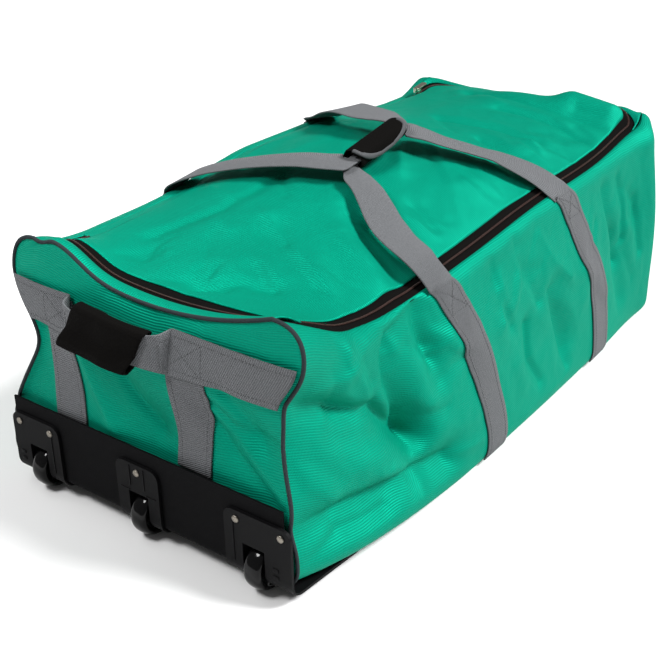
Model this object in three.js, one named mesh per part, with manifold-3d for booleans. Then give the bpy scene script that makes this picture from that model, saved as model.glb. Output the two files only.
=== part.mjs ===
// A wheeled sports holdall: a soft bag of ribbed polyester on three small wheels.
// Millimetres, +Z up, length along X with the wheel end towards -X, the zip side facing -Y.

import * as THREE from "three";
import { mergeVertices } from "three/addons/utils/BufferGeometryUtils.js";
import Module from "manifold-3d";

const wasm = await Module();
wasm.setup();

// Driving dimensions
const FABRIC = 1.6; // wall of the coated polyester
const WEBBING_WIDTH = 50;
const WEBBING = 2.2; // thickness of the webbing
const SEWN_GAP = 2.6; // room between a sewn strap and the faceted panel under it
const PIPING_RADIUS = 3.2;
const PIPING_ROOM = 4.4; // from the piping's centre line to the panels behind it
const END_PANEL_ROOM = 9.2; // from the piping's centre line to the end panel inside it
const PIPING_JOIN = 0.012; // share of the half base by which the far piping's ends stay apart
const SEAM_GAP = 1.2; // between panels that meet edge to edge
const TOP_HALF_WIDTH = 190; // nominal half width that the zip's plan is drawn at
const ZIP_WIDTH = 22;
const ZIP_RIDGE = 2.4; // height of the coil over the tape
const ZIP_END_INSET = { wheel: 18, far: 10 }; // from an end's piping to the zip
const ZIP_CORNER_RADIUS = 34;
const ZIP_TAIL = 26; // how far the zip runs onto the hinge side at both ends
const WHEEL_RADIUS = 29;
const WHEEL_WIDTH = 23;
const WHEEL_SPACING = 170;
const WHEEL_X = 27;
const HUB_RADIUS = 12;
const RIM_RADIUS = 24;
const WEB_STEP = 2.5; // how far the wheel's web lies behind its hub and rim
const TREAD_ROUND = 4.5;
const AXLE_RADIUS = 4;
const BORE_CLEARANCE = 0.5;
const WELL_WALL = 4;
const WELL_INNER_WIDTH = 30;
const WELL_BACK = 62;
const WELL_TOP = 62;
const WELL_ROOM = 0.8; // room round a wheel well in the panels that it passes through
const GUARD_FACE_X = 11;
const GUARD_THICKNESS = 2.6;
const GUARD_REACH = { y1: -208, y2: 209 };
const GUARD_TOP = 120;
const GUARD_LIP = 96; // how far the guard runs under the base
const GUARD_UNDERSIDE = 18.6;
const GUARD_BEND = 12;
const HOUSING_FACE_X = 6.4;
const HOUSING_THICKNESS = 4;
const HOUSING_TOP = 101;
const HOUSING_UNDERSIDE = 13.8;
const HOUSING_BEND = 20;
const HOUSING_INNER_BEND = 12;
const HOUSING_CORNER = 12;
const SKID_SLOPE = 0.085; // fall of the lips and the base behind the wheels
const RIVET_RADIUS = 5.5;
const RIVET_RIM = 1;
const RIVET_DOME = 2.2;
const RIVET_GAP = 0.3;
const RIVET_Z = 90;

// Facets: steps along and across each panel, and round each cord
const STEPS = {
  sideLow: 3,
  sideWall: 5,
  sideHigh: 2,
  sideAlong: 24,
  baseAlong: 16,
  baseAcross: 4,
  lidAlong: 20,
  lidAcross: 8,
  zip: 46,
  hinge: 16,
  borderStraight: 8,
  borderCorner: 3,
  borderDepth: 2,
  endWheel: 10,
  endFar: 8,
  handleFree: 20,
  band: 22,
  endWeb: 6,
  gripRound: 12,
  gripAlong: 4,
  wrapRound: 26,
  wrapAlong: 2,
  cordRound: 5,
  pipingWheel: 38,
  pipingFar: 48,
  binding: 20,
  wheelRound: 16,
  axleRound: 12,
  rivetRound: 8,
};

const COLOURS = {
  green: "#06a078",
  grey: "#6d6e72",
  black: "#191a1c",
  charcoal: "#2f3236",
  plastic: "#141416",
  rubber: "#101011",
  steel: "#b9bbbd",
  brass: "#a9a28c",
};

// Where both ends of the bag stand, by share of the height
const WHEEL_END = [
  { at: 0, x: 18 },
  { at: 0.3, x: 18 },
  { at: 0.6, x: 24 },
  { at: 1, x: 32 },
];
const FAR_END = [
  { at: 0, x: 922 },
  { at: 0.35, x: 932 },
  { at: 0.7, x: 920 },
  { at: 1, x: 905 },
];

// How far the cloth inside each end's piping stands out, by share of the height
const WHEEL_END_SWELL = [
  { at: 0, out: 0 },
  { at: 0.3, out: -3 },
  { at: 0.5, out: -6 },
  { at: 0.78, out: 12 },
  { at: 1, out: 0 },
];
const FAR_END_SWELL = [
  { at: 0, out: 0 },
  { at: 0.35, out: 16 },
  { at: 0.75, out: 10 },
  { at: 1, out: 0 },
];

// Cross sections by share of the length. foot is the half width that lies on the floor.
const BASE_SECTIONS = [
  { at: 0, baseZ: 24, foot: 196, crown: -33 },
  { at: 0.05, baseZ: 21, foot: 206, crown: -14 },
  { at: 0.13, baseZ: 14, foot: 216, crown: 18 },
  { at: 0.25, baseZ: 4.5, foot: 221, crown: 40 },
  { at: 0.36, baseZ: 0, foot: 222, crown: 47 },
  { at: 0.55, baseZ: 0, foot: 222, crown: 47 },
  { at: 0.75, baseZ: 0, foot: 217, crown: 37 },
  { at: 0.91, baseZ: 0, foot: 207, crown: 41 },
  { at: 0.965, baseZ: 1, foot: 202, crown: 21 },
  { at: 1, baseZ: 5, foot: 198, crown: -18 },
];

// Each long side: low and high are half widths at its bottom and top corners, bulge is how far it
// swells between them, round is the top corner's radius, seam and seamZ are where the zip begins.
const RIGHT_SECTIONS = [
  { at: 0, low: 220, bulge: -22, high: 228, round: 40, seam: 187, seamZ: 325 },
  { at: 0.05, low: 234, bulge: -9, high: 225, round: 32, seam: 194, seamZ: 305 },
  { at: 0.12, low: 244, bulge: 2, high: 218, round: 24, seam: 200, seamZ: 276 },
  { at: 0.22, low: 249, bulge: 5, high: 214, round: 20, seam: 201, seamZ: 265 },
  { at: 0.4, low: 250, bulge: 7, high: 213, round: 20, seam: 201, seamZ: 271 },
  { at: 0.6, low: 249, bulge: 7, high: 213, round: 20, seam: 201, seamZ: 285 },
  { at: 0.8, low: 244, bulge: 5, high: 213, round: 20, seam: 201, seamZ: 291 },
  { at: 0.93, low: 238, bulge: 3, high: 218, round: 25, seam: 198, seamZ: 304 },
  { at: 0.97, low: 240, bulge: 4, high: 226, round: 28, seam: 200, seamZ: 312 },
  { at: 1, low: 224, bulge: -8, high: 211, round: 27, seam: 194, seamZ: 324 },
];
const LEFT_SECTIONS = [
  { at: 0, low: 229, bulge: -37, high: 190, round: 38, seam: 156, seamZ: 330 },
  { at: 0.05, low: 243, bulge: -18, high: 197, round: 42, seam: 160, seamZ: 312 },
  { at: 0.13, low: 250, bulge: 0, high: 206, round: 44, seam: 166, seamZ: 304 },
  { at: 0.28, low: 250, bulge: 4, high: 212, round: 46, seam: 170, seamZ: 307 },
  { at: 0.48, low: 249, bulge: 7, high: 214, round: 46, seam: 172, seamZ: 328 },
  { at: 0.62, low: 248, bulge: 6, high: 215, round: 46, seam: 173, seamZ: 328 },
  { at: 0.8, low: 244, bulge: 5, high: 215, round: 46, seam: 174, seamZ: 313 },
  { at: 0.93, low: 237, bulge: 0, high: 216, round: 40, seam: 178, seamZ: 308 },
  { at: 1, low: 226, bulge: -9, high: 214, round: 32, seam: 182, seamZ: 326 },
];

// Folds of the long sides. A fold runs from (x1, up1) to (x2, up2), up being the share of the height.
const RIGHT_FOLDS = [
  { x1: 20, up1: 0.76, x2: 250, up2: 0.3, width: 26, depth: -9 },
  { x1: 212, up1: 0.9, x2: 275, up2: 0.28, width: 20, depth: -8 },
  { x1: 262, up1: 0.88, x2: 312, up2: 0.52, width: 18, depth: -7 },
  { x1: 130, up1: 0.38, x2: 345, up2: 0.16, width: 24, depth: 4 },
  { x1: 30, up1: 0.3, x2: 200, up2: 0.14, width: 26, depth: -9 },
  { x1: 455, up1: 0.7, x2: 530, up2: 0.36, width: 24, depth: -4 },
  { x1: 575, up1: 0.6, x2: 600, up2: 0.25, width: 22, depth: -5 },
  { x1: 780, up1: 0.6, x2: 800, up2: 0.24, width: 26, depth: -6 },
];
const LEFT_FOLDS = [
  { x1: 30, up1: 0.6, x2: 230, up2: 0.34, width: 28, depth: -8 },
  { x1: 225, up1: 0.86, x2: 280, up2: 0.4, width: 22, depth: -6 },
  { x1: 520, up1: 0.8, x2: 560, up2: 0.3, width: 26, depth: -5 },
  { x1: 760, up1: 0.7, x2: 800, up2: 0.26, width: 26, depth: -6 },
];

// Folds of the lid, by place along the length and share of the half width
const LID_FOLDS = [
  { x1: 100, across1: 0.5, x2: 300, across2: -0.5, width: 34, depth: -5 },
  { x1: 262, across1: -0.95, x2: 330, across2: -0.3, width: 22, depth: -7 },
  { x1: 232, across1: -0.9, x2: 275, across2: -0.4, width: 20, depth: 6 },
  { x1: 560, across1: -0.9, x2: 640, across2: -0.1, width: 36, depth: -4 },
  { x1: 700, across1: 0.6, x2: 860, across2: 0.2, width: 40, depth: -5 },
  { x1: 20, across1: 0.72, x2: 60, across2: 0.78, width: 44, depth: 16 },
  { x1: 866, across1: -0.86, x2: 862, across2: -0.5, width: 30, depth: 21 },
];

// Route of each carry handle: up one side, free over the lid through the wrap, and down again.
// at is the share of the side's outline on the sewn stretch, turn tips the free webbing about its length.
const HANDLE_SEWN_FRONT = [
  { at: 0.12, x: 391 },
  { at: 0.22, x: 396 },
  { at: 0.45, x: 374 },
  { at: 0.7, x: 342 },
  { at: 0.95, x: 302 },
];
const HANDLE_SEWN_REAR = [
  { at: 0.12, x: 709 },
  { at: 0.22, x: 712 },
  { at: 0.45, x: 696 },
  { at: 0.7, x: 657 },
  { at: 0.95, x: 618 },
];
const RIGHT_HANDLE_FREE = [
  { x: 298, y: -187, z: 295, turn: 0 },
  { x: 304, y: -152, z: 310, turn: 0 },
  { x: 320, y: -122, z: 320, turn: 0 },
  { x: 338, y: -98, z: 329, turn: 0 },
  { x: 354, y: -74, z: 339, turn: 0 },
  { x: 368, y: -46, z: 348, turn: 3 },
  { x: 381, y: -30, z: 354.6, turn: 6 },
  { x: 434, y: -30, z: 364, turn: 6 },
  { x: 488, y: -30, z: 373.4, turn: 6 },
  { x: 503, y: -52, z: 369, turn: 4 },
  { x: 522, y: -80, z: 357, turn: 0 },
  { x: 545, y: -110, z: 345, turn: 0 },
  { x: 568, y: -138, z: 332, turn: 0 },
  { x: 596, y: -178, z: 309, turn: 0 },
];
const LEFT_HANDLE_FREE = [
  { x: 302, y: 184, z: 318, turn: 0 },
  { x: 312, y: 146, z: 335, turn: 0 },
  { x: 330, y: 88, z: 350, turn: 0 },
  { x: 350, y: 28, z: 359, turn: 2 },
  { x: 367, y: -12, z: 359, turn: 4 },
  { x: 381, y: -30, z: 359, turn: 6 },
  { x: 434, y: -30, z: 368.6, turn: 6 },
  { x: 490, y: -30, z: 378.2, turn: 6 },
  { x: 504, y: 0, z: 381, turn: 2 },
  { x: 508, y: 38, z: 381, turn: -4 },
  { x: 518, y: 74, z: 379, turn: -4 },
  { x: 532, y: 104, z: 370, turn: 0 },
  { x: 550, y: 134, z: 356, turn: 0 },
  { x: 578, y: 166, z: 344, turn: 0 },
  { x: 608, y: 187, z: 331, turn: 0 },
];

// The padded wrap that gathers both handles
const WRAP = {
  x1: 384,
  x2: 485,
  y: -30,
  z1: 359,
  z2: 377,
  tip: 6,
  halfWidth: 13,
  halfHeight: 7.4,
  thickness: 2.6,
};
const WRAP_MIDDLE_X = (WRAP.x1 + WRAP.x2) / 2;
const WRAP_HALF_LENGTH = (WRAP.x2 - WRAP.x1) / 2;
const GATHER = { width: 17, reach: 8, run: 56 }; // the webbing's width in the wrap, and where it spreads
const BINDING_RADIUS = 1.8;
const BINDING_CLEAR = 2.2; // between the binding and the flap under it
// Angles in radians round the wrap, from its left side over its top
const FLAP = { overlap: 2.1, endAngle: 3.5, ramp: 0.9, round: 1.7, tip: 0.3 };
const RING_FLAT = 1.6; // above 1 it lengthens the flat stretches of the wrap and the grip
const LIFT_OFF = 0.16; // share of a handle's free run over which it turns from its side to face up

// The zip's slider and pull; stop is how far the slider stands from the zip's end
const SLIDER = { length: 16, width: 10, height: 5, clear: 5.4, stop: 2 };
const PULL = { length: 34, width: 10, height: 1.8, hole: 2.6, clear: 0.6 };

// The grab handle across the wheel end
const BAND_Z = 257;
const BAND_REACH = { y1: -216, y2: 170 };
const GRAB_LOOP = { y1: -58, y2: 92, rise: 17, flat: 0.45, narrow: 14 };
const GRIP = { y1: -36, y2: 70, halfHeight: 22, halfDepth: 6, thickness: 3, gap: 0.04 };
const END_WEB_TUCK = 6; // how far the upright webbings run down behind the guard
const END_WEB_Y = { end_web_right: -77, end_web_left: 115 };

const { lerp, clamp, degToRad, smoothstep } = THREE.MathUtils;
const QUARTER = Math.PI / 2;
const vector = (x, y, z) => new THREE.Vector3(x, y, z);
const BAG_MIDDLE = vector(470, 0, 160);
const FAR_BELOW = vector(470, 0, -5000); // the top's panels all face away from it
const steps = (count) => Array.from({ length: count + 1 }, (_, k) => k / count);

// Reads one column of a table as a smooth curve through its rows, level where the rows turn back.
function column(table, name, at) {
  const last = table.length - 1;
  const k = clamp(table.findIndex((row) => row.at >= at), 1, last);
  const slope = (n) => {
    const [a, b] = [table[Math.max(n - 1, 0)], table[Math.min(n + 1, last)]];
    const turns = n > 0 && n < last && (b[name] - table[n][name]) * (table[n][name] - a[name]) <= 0;
    return turns ? 0 : (b[name] - a[name]) / (b.at - a.at);
  };
  const [from, to] = [table[k - 1], table[k]];
  const span = to.at - from.at;
  const t = clamp((at - from.at) / span, 0, 1);
  const [t2, t3] = [t * t, t * t * t];
  const rise = (t3 - 2 * t2 + t) * slope(k - 1) + (t3 - t2) * slope(k);
  return (2 * t3 - 3 * t2 + 1) * from[name] + (3 * t2 - 2 * t3) * to[name] + rise * span;
}

// Height of all the folds near a place, each fading out across its width and at its ends.
function folded(folds, x, other, name, scale) {
  return folds.reduce((sum, fold) => {
    const start = new THREE.Vector2(fold.x1, fold[`${name}1`] * scale);
    const run = new THREE.Vector2(fold.x2, fold[`${name}2`] * scale).sub(start);
    const away = new THREE.Vector2(x, other * scale).sub(start);
    const along = clamp(away.dot(run) / run.lengthSq(), 0, 1);
    const distance = away.distanceTo(run.multiplyScalar(along)) / fold.width;
    return sum + fold.depth * Math.exp(-distance * distance);
  }, 0);
}

const SIDES = {
  right: { sign: -1, sections: RIGHT_SECTIONS, folds: RIGHT_FOLDS },
  left: { sign: 1, sections: LEFT_SECTIONS, folds: LEFT_FOLDS },
};

const LOW_SHARE = 0.2; // share of a side's outline taken by the roll at the floor
const HIGH_SHARE = 0.87; // where the top corner begins
const LOW_ROLL = 27;
const BULGE_LIFT = 1.4; // above 1 it lifts the bulge over the middle of the wall

const bezier = (a, b, c, t) => (1 - t) * (1 - t) * a + 2 * t * (1 - t) * b + t * t * c;

// A point of a long side: along is the share of the length, up the share of the outline from the floor.
function sidePoint(side, along, up) {
  const { sign, sections, folds } = SIDES[side];
  const row = Object.fromEntries(
    ["low", "bulge", "high", "round", "seam", "seamZ"].map((name) => [name, column(sections, name, along)]),
  );
  const baseZ = column(BASE_SECTIONS, "baseZ", along);
  const foot = column(BASE_SECTIONS, "foot", along);
  const tall = row.seamZ - baseZ;
  const wallY = (z) => lerp(row.low, row.high, (z - baseZ) / tall);
  const [rollZ, cornerZ] = [baseZ + LOW_ROLL, row.seamZ - row.round];
  let y;
  let z;
  if (up < LOW_SHARE) {
    const t = up / LOW_SHARE;
    y = bezier(foot, row.low, wallY(rollZ), t);
    z = bezier(baseZ, baseZ, rollZ, t);
  } else if (up < HIGH_SHARE) {
    const t = (up - LOW_SHARE) / (HIGH_SHARE - LOW_SHARE);
    z = lerp(rollZ, cornerZ, t);
    y = wallY(z) + row.bulge * Math.sin(Math.PI * t ** BULGE_LIFT) ** 2;
  } else {
    const t = (up - HIGH_SHARE) / (1 - HIGH_SHARE);
    y = bezier(wallY(cornerZ), row.high, row.seam, t);
    z = bezier(cornerZ, row.seamZ, row.seamZ, t);
  }
  const share = (z - baseZ) / tall;
  const x = lerp(column(WHEEL_END, "x", share), column(FAR_END, "x", share), along);
  const fade = Math.sin(Math.PI * clamp(share, 0, 1)) ** 0.5;
  y += fade * folded(folds, x, share, "up", tall);
  return vector(x, sign * y, z);
}

const FOLD_MARGIN = 0.2; // share of the half width over which the lid's folds fade out at its edges
const TOP_START = column(WHEEL_END, "x", 1);
const TOP_LENGTH = column(FAR_END, "x", 1) - TOP_START;

// A point of the bag's top: x from the wheel end's piping, y on the nominal half width.
function topPoint(x, y) {
  const along = x / TOP_LENGTH;
  const across = y / TOP_HALF_WIDTH;
  const right = { y: -column(RIGHT_SECTIONS, "seam", along), z: column(RIGHT_SECTIONS, "seamZ", along) };
  const left = { y: column(LEFT_SECTIONS, "seam", along), z: column(LEFT_SECTIONS, "seamZ", along) };
  const share = (across + 1) / 2;
  const dome = 1 - across * across;
  const fade = smoothstep(1 - Math.abs(across), 0, FOLD_MARGIN);
  const z = lerp(right.z, left.z, share) + column(BASE_SECTIONS, "crown", along) * dome;
  const fold = fade * folded(LID_FOLDS, TOP_START + x, across, "across", TOP_HALF_WIDTH);
  return vector(TOP_START + x, lerp(right.y, left.y, share), z + fold);
}

// A point of the base, across from -1 to 1.
function basePoint(along, across) {
  const x = lerp(WHEEL_END[0].x, FAR_END[0].x, along);
  const foot = column(BASE_SECTIONS, "foot", along);
  return vector(x, across * (foot - SEAM_GAP), column(BASE_SECTIONS, "baseZ", along));
}

// A closed solid between two grids of points that face each other.
function solidBetween(outer, inner) {
  const [rows, columns] = [outer.length, outer[0].length];
  const points = [...outer.flat(), ...inner.flat()];
  const id = (i, j, face) => (face * rows + i) * columns + j;
  const index = [];
  const quad = (a, b, c, d) => index.push(a, b, c, a, c, d);
  for (let i = 0; i < rows - 1; i += 1) {
    for (let j = 0; j < columns - 1; j += 1) {
      quad(id(i, j, 0), id(i + 1, j, 0), id(i + 1, j + 1, 0), id(i, j + 1, 0));
      quad(id(i, j, 1), id(i, j + 1, 1), id(i + 1, j + 1, 1), id(i + 1, j, 1));
    }
    const edge = columns - 1;
    quad(id(i + 1, 0, 0), id(i, 0, 0), id(i, 0, 1), id(i + 1, 0, 1));
    quad(id(i, edge, 0), id(i + 1, edge, 0), id(i + 1, edge, 1), id(i, edge, 1));
  }
  for (let j = 0; j < columns - 1; j += 1) {
    quad(id(0, j, 0), id(0, j + 1, 0), id(0, j + 1, 1), id(0, j, 1));
    quad(id(rows - 1, j + 1, 0), id(rows - 1, j, 0), id(rows - 1, j, 1), id(rows - 1, j + 1, 1));
  }
  return facingOut(points, index);
}

function facingOut(points, index) {
  let volume = 0;
  for (let k = 0; k < index.length; k += 3) {
    const [a, b, c] = [points[index[k]], points[index[k + 1]], points[index[k + 2]]];
    volume += a.dot(b.clone().cross(c));
  }
  const geometry = new THREE.BufferGeometry().setFromPoints(points);
  geometry.setIndex(volume > 0 ? index : index.slice().reverse());
  geometry.computeVertexNormals();
  return geometry;
}

// The normal at each point of a grid, on the side away from the given middle.
function gridNormals(grid, middle) {
  const [rows, columns] = [grid.length, grid[0].length];
  const at = (i, j) => grid[clamp(i, 0, rows - 1)][clamp(j, 0, columns - 1)];
  return grid.map((line, i) => line.map((point, j) => {
    const down = at(i + 1, j).clone().sub(at(i - 1, j));
    const over = at(i, j + 1).clone().sub(at(i, j - 1));
    const normal = down.cross(over).normalize();
    return normal.dot(point.clone().sub(middle)) < 0 ? normal.negate() : normal;
  }));
}

// A grid moved along its normals.
function offsetGrid(grid, normals, distance) {
  const moved = (point, normal) => point.clone().addScaledVector(normal, distance);
  return grid.map((line, i) => line.map((point, j) => moved(point, normals[i][j])));
}

// A cloth wall whose outer face is the grid, facing away from the given middle.
function panel(grid, middle = BAG_MIDDLE) {
  return solidBetween(grid, offsetGrid(grid, gridNormals(grid, middle), -FABRIC));
}

// The rows of a long side's grid, which the straps sewn on it share
const SIDE_ROWS = [
  ...steps(STEPS.sideLow).map((t) => t * LOW_SHARE),
  ...steps(STEPS.sideWall).map((t) => lerp(LOW_SHARE, HIGH_SHARE, t)).slice(1),
  ...steps(STEPS.sideHigh).map((t) => lerp(HIGH_SHARE, 1, t)).slice(1),
];

function sidePanel(side) {
  const trim = PIPING_ROOM / TOP_LENGTH;
  return panel(steps(STEPS.sideAlong).map((t) => {
    const along = lerp(trim, 1 - trim, t);
    return SIDE_ROWS.map((up) => sidePoint(side, along, up));
  }));
}

function basePanel() {
  const trim = PIPING_ROOM / TOP_LENGTH;
  return panel(steps(STEPS.baseAlong).map((t) => {
    const along = lerp(trim, 1 - trim, t);
    return steps(STEPS.baseAcross).map((s) => basePoint(along, 2 * s - 1));
  }));
}

// The zip's plan: a rounded rectangle walked once, with the same places at every inset.
const PLAN = {
  straightX: TOP_LENGTH - ZIP_END_INSET.wheel - ZIP_END_INSET.far - 2 * ZIP_CORNER_RADIUS,
  straightY: 2 * (TOP_HALF_WIDTH - ZIP_CORNER_RADIUS),
  arc: QUARTER * ZIP_CORNER_RADIUS,
};
const PLAN_LENGTH = 2 * (PLAN.straightX + PLAN.straightY) + 4 * PLAN.arc;

const PLAN_HALF = { x: PLAN.straightX / 2, y: PLAN.straightY / 2 };
const PLAN_MIDDLE_X = (TOP_LENGTH + ZIP_END_INSET.wheel - ZIP_END_INSET.far) / 2;

// Straight runs and quarter turns from the middle of the left side over the wheel end, the right
// side and the far end. Each starts beside a corner's centre, its edge facing at a count of quarters.
const PLAN_RUNS = [
  { length: PLAN_HALF.x, x: 0, y: PLAN_HALF.y, quarters: 1, goX: -1, goY: 0 },
  { length: PLAN.arc, x: -PLAN_HALF.x, y: PLAN_HALF.y, quarters: 1 },
  { length: PLAN.straightY, x: -PLAN_HALF.x, y: PLAN_HALF.y, quarters: 2, goX: 0, goY: -1 },
  { length: PLAN.arc, x: -PLAN_HALF.x, y: -PLAN_HALF.y, quarters: 2 },
  { length: PLAN.straightX, x: -PLAN_HALF.x, y: -PLAN_HALF.y, quarters: 3, goX: 1, goY: 0 },
  { length: PLAN.arc, x: PLAN_HALF.x, y: -PLAN_HALF.y, quarters: 3 },
  { length: PLAN.straightY, x: PLAN_HALF.x, y: -PLAN_HALF.y, quarters: 4, goX: 0, goY: 1 },
  { length: PLAN.arc, x: PLAN_HALF.x, y: PLAN_HALF.y, quarters: 4 },
  { length: PLAN_HALF.x, x: PLAN_HALF.x, y: PLAN_HALF.y, quarters: 5, goX: -1, goY: 0 },
];

function planPoint(distance, inset) {
  let rest = distance;
  const run = PLAN_RUNS.find(({ length }, k) => {
    if (rest <= length || k === PLAN_RUNS.length - 1) return true;
    rest -= length;
    return false;
  });
  const straight = run.goX !== undefined;
  const facing = run.quarters * QUARTER + (straight ? 0 : rest / ZIP_CORNER_RADIUS);
  const shift = straight ? rest : 0;
  const reach = ZIP_CORNER_RADIUS - inset;
  return {
    x: PLAN_MIDDLE_X + run.x + shift * (run.goX ?? 0) + reach * Math.cos(facing),
    y: run.y + shift * (run.goY ?? 0) + reach * Math.sin(facing),
  };
}

// A strip of the top along the zip's plan, through lanes that each have an inset and a rise.
function topStrip(from, to, count, lanes) {
  const grid = steps(count).map((t) => lanes.map((lane) => {
    const distance = (lerp(from, to, t) + PLAN_LENGTH) % PLAN_LENGTH;
    const { x, y } = planPoint(distance, lane.inset);
    return topPoint(x, y).add(vector(0, 0, lane.rise));
  }));
  return panel(grid, FAR_BELOW);
}

const ZIP_LANES = [
  { inset: SEAM_GAP, rise: 0 },
  { inset: ZIP_WIDTH / 2, rise: ZIP_RIDGE },
  { inset: ZIP_WIDTH - SEAM_GAP, rise: 0 },
];
const ZIP_START = PLAN_HALF.x - ZIP_TAIL;
const HINGE_LANES = [ZIP_LANES[0], ZIP_LANES[2]];
const zipTape = () => topStrip(ZIP_START, PLAN_LENGTH - ZIP_START, STEPS.zip, ZIP_LANES);
const lidHinge = () => topStrip(SEAM_GAP - ZIP_START, ZIP_START - SEAM_GAP, STEPS.hinge, HINGE_LANES);

// The lid fills the zip's plan. Its square corners are bent into quarter discs.
function lidPanel() {
  const inset = ZIP_WIDTH + SEAM_GAP;
  const radius = ZIP_CORNER_RADIUS - inset;
  const { x: hx, y: hy } = PLAN_HALF;
  const lines = (half, count) => {
    const straight = steps(count).map((t) => lerp(-half, half, t));
    return [-half - radius, ...straight, half + radius];
  };
  const grid = lines(hx, STEPS.lidAlong).map((x) => lines(hy, STEPS.lidAcross).map((y) => {
    const p = Math.max(Math.abs(x) - hx, 0) / radius;
    const q = Math.max(Math.abs(y) - hy, 0) / radius;
    const bentX = p > 0 ? Math.sign(x) * (hx + radius * p * Math.sqrt(1 - (q * q) / 2)) : x;
    const bentY = q > 0 ? Math.sign(y) * (hy + radius * q * Math.sqrt(1 - (p * p) / 2)) : y;
    return topPoint(PLAN_MIDDLE_X + bentX, bentY);
  }));
  return panel(grid, FAR_BELOW);
}

// The strip between the zip and an end's piping, with the corners that the zip rounds off.
function borderStrip(end) {
  const radius = ZIP_CORNER_RADIUS;
  const flat = TOP_HALF_WIDTH - radius;
  const reach = TOP_HALF_WIDTH - 3 * SEAM_GAP;
  const corner = steps(STEPS.borderCorner).map((t) => flat + (reach - flat) * Math.sin(QUARTER * t));
  const middle = steps(STEPS.borderStraight).map((t) => lerp(-flat, flat, t)).slice(1, -1);
  const ys = [...corner.map((y) => -y).reverse(), ...middle, ...corner];
  const grid = ys.map((y) => steps(STEPS.borderDepth).map((t) => {
    const over = Math.max(Math.abs(y) - flat, 0);
    const bend = radius - Math.sqrt(radius * radius - over * over);
    const x = lerp(PIPING_ROOM, ZIP_END_INSET[end] + bend - SEAM_GAP, t);
    return topPoint(end === "wheel" ? x : TOP_LENGTH - x, y);
  }));
  return panel(grid, FAR_BELOW);
}

// An end panel is stretched between four edges: base, both sides and top.
function endGrid(end, across, ups) {
  const along = end === "wheel" ? 0 : 1;
  const bottom = (a) => basePoint(along, 2 * a - 1);
  const top = (a) => topPoint(along * TOP_LENGTH, (2 * a - 1) * TOP_HALF_WIDTH);
  const right = (b) => sidePoint("right", along, b);
  const left = (b) => sidePoint("left", along, b);
  const corners = [right(0), left(0), right(1), left(1)];
  const swell = end === "wheel" ? WHEEL_END_SWELL : FAR_END_SWELL;
  const outward = end === "wheel" ? -1 : 1;
  return steps(across).map((a) => ups.map((b) => {
    const point = vector(0, 0, 0);
    point.addScaledVector(bottom(a), 1 - b).addScaledVector(top(a), b);
    point.addScaledVector(right(b), 1 - a).addScaledVector(left(b), a);
    corners.forEach((corner, k) => {
      const weight = (k % 2 ? a : 1 - a) * (k > 1 ? b : 1 - b);
      point.addScaledVector(corner, -weight);
    });
    const dome = Math.sin(Math.PI * a) ** 0.7;
    point.x += outward * dome * column(swell, "out", b);
    point.y -= END_PANEL_ROOM * (2 * a - 1);
    point.z -= END_PANEL_ROOM * (2 * b - 1);
    return point;
  }));
}

// Piping follows an end's edges. It stops short of the wheels, and meets itself under the far end.
function pipingPath(end) {
  const along = end === "wheel" ? 0 : 1;
  const ups = steps(12);
  const start = end === "wheel" ? 0.1 : 0;
  const right = ups.map((t) => sidePoint("right", along, lerp(start, 1, t)));
  const top = steps(10).slice(1, -1).map((t) => topPoint(along * TOP_LENGTH, (2 * t - 1) * TOP_HALF_WIDTH));
  const left = ups.map((t) => sidePoint("left", along, lerp(1, start, t)));
  const path = [...right, ...top, ...left];
  if (end === "far") {
    path.unshift(basePoint(1, -PIPING_JOIN), basePoint(1, -0.5));
    path.push(basePoint(1, 0.5), basePoint(1, PIPING_JOIN));
  }
  return path;
}

function tube(path, radius, count) {
  const corners = steps(STEPS.cordRound).slice(0, -1).map((t) => new THREE.Vector2(
    radius * Math.cos(2 * Math.PI * t),
    radius * Math.sin(2 * Math.PI * t),
  ));
  const curve = new THREE.CatmullRomCurve3(path, false, "centripetal");
  return new THREE.ExtrudeGeometry(new THREE.Shape(corners), {
    steps: count,
    bevelEnabled: false,
    extrudePath: curve,
  });
}

// A webbing through stations, each with a point on its underside, its outward normal and its width.
function webbing(stations) {
  const lanes = [-0.5, 0, 0.5];
  const tangents = stations.map((station, k) => {
    const [a, b] = [stations[Math.max(k - 1, 0)], stations[Math.min(k + 1, stations.length - 1)]];
    return b.point.clone().sub(a.point).normalize();
  });
  const under = stations.map(({ point, normal, width = WEBBING_WIDTH }, k) => {
    const across = tangents[k].clone().cross(normal).normalize();
    return lanes.map((lane) => point.clone().addScaledVector(across, lane * width));
  });
  const out = stations.map(({ normal }, k) => {
    const square = normal.clone().addScaledVector(tangents[k], -normal.dot(tangents[k])).normalize();
    return lanes.map(() => square);
  });
  return solidBetween(offsetGrid(under, out, WEBBING), under);
}

function sideNormal(side, along, up) {
  const reach = 0.01;
  const forward = sidePoint(side, along + reach, up).sub(sidePoint(side, along - reach, up));
  const [above, below] = [Math.min(up + reach, 1), Math.max(up - reach, 0)];
  const upward = sidePoint(side, along, above).sub(sidePoint(side, along, below));
  const normal = forward.cross(upward).normalize();
  return normal.y * SIDES[side].sign < 0 ? normal.negate() : normal;
}

function sewnStations(side, table) {
  const [low, high] = [table[0].at, table[table.length - 1].at];
  return SIDE_ROWS.filter((up) => up >= low && up <= high).map((up) => {
    const along = (column(table, "x", up) - WHEEL_END[0].x) / (FAR_END[0].x - WHEEL_END[0].x);
    const normal = sideNormal(side, along, up);
    return { point: sidePoint(side, along, up).addScaledVector(normal, SEWN_GAP), normal };
  });
}

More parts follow.
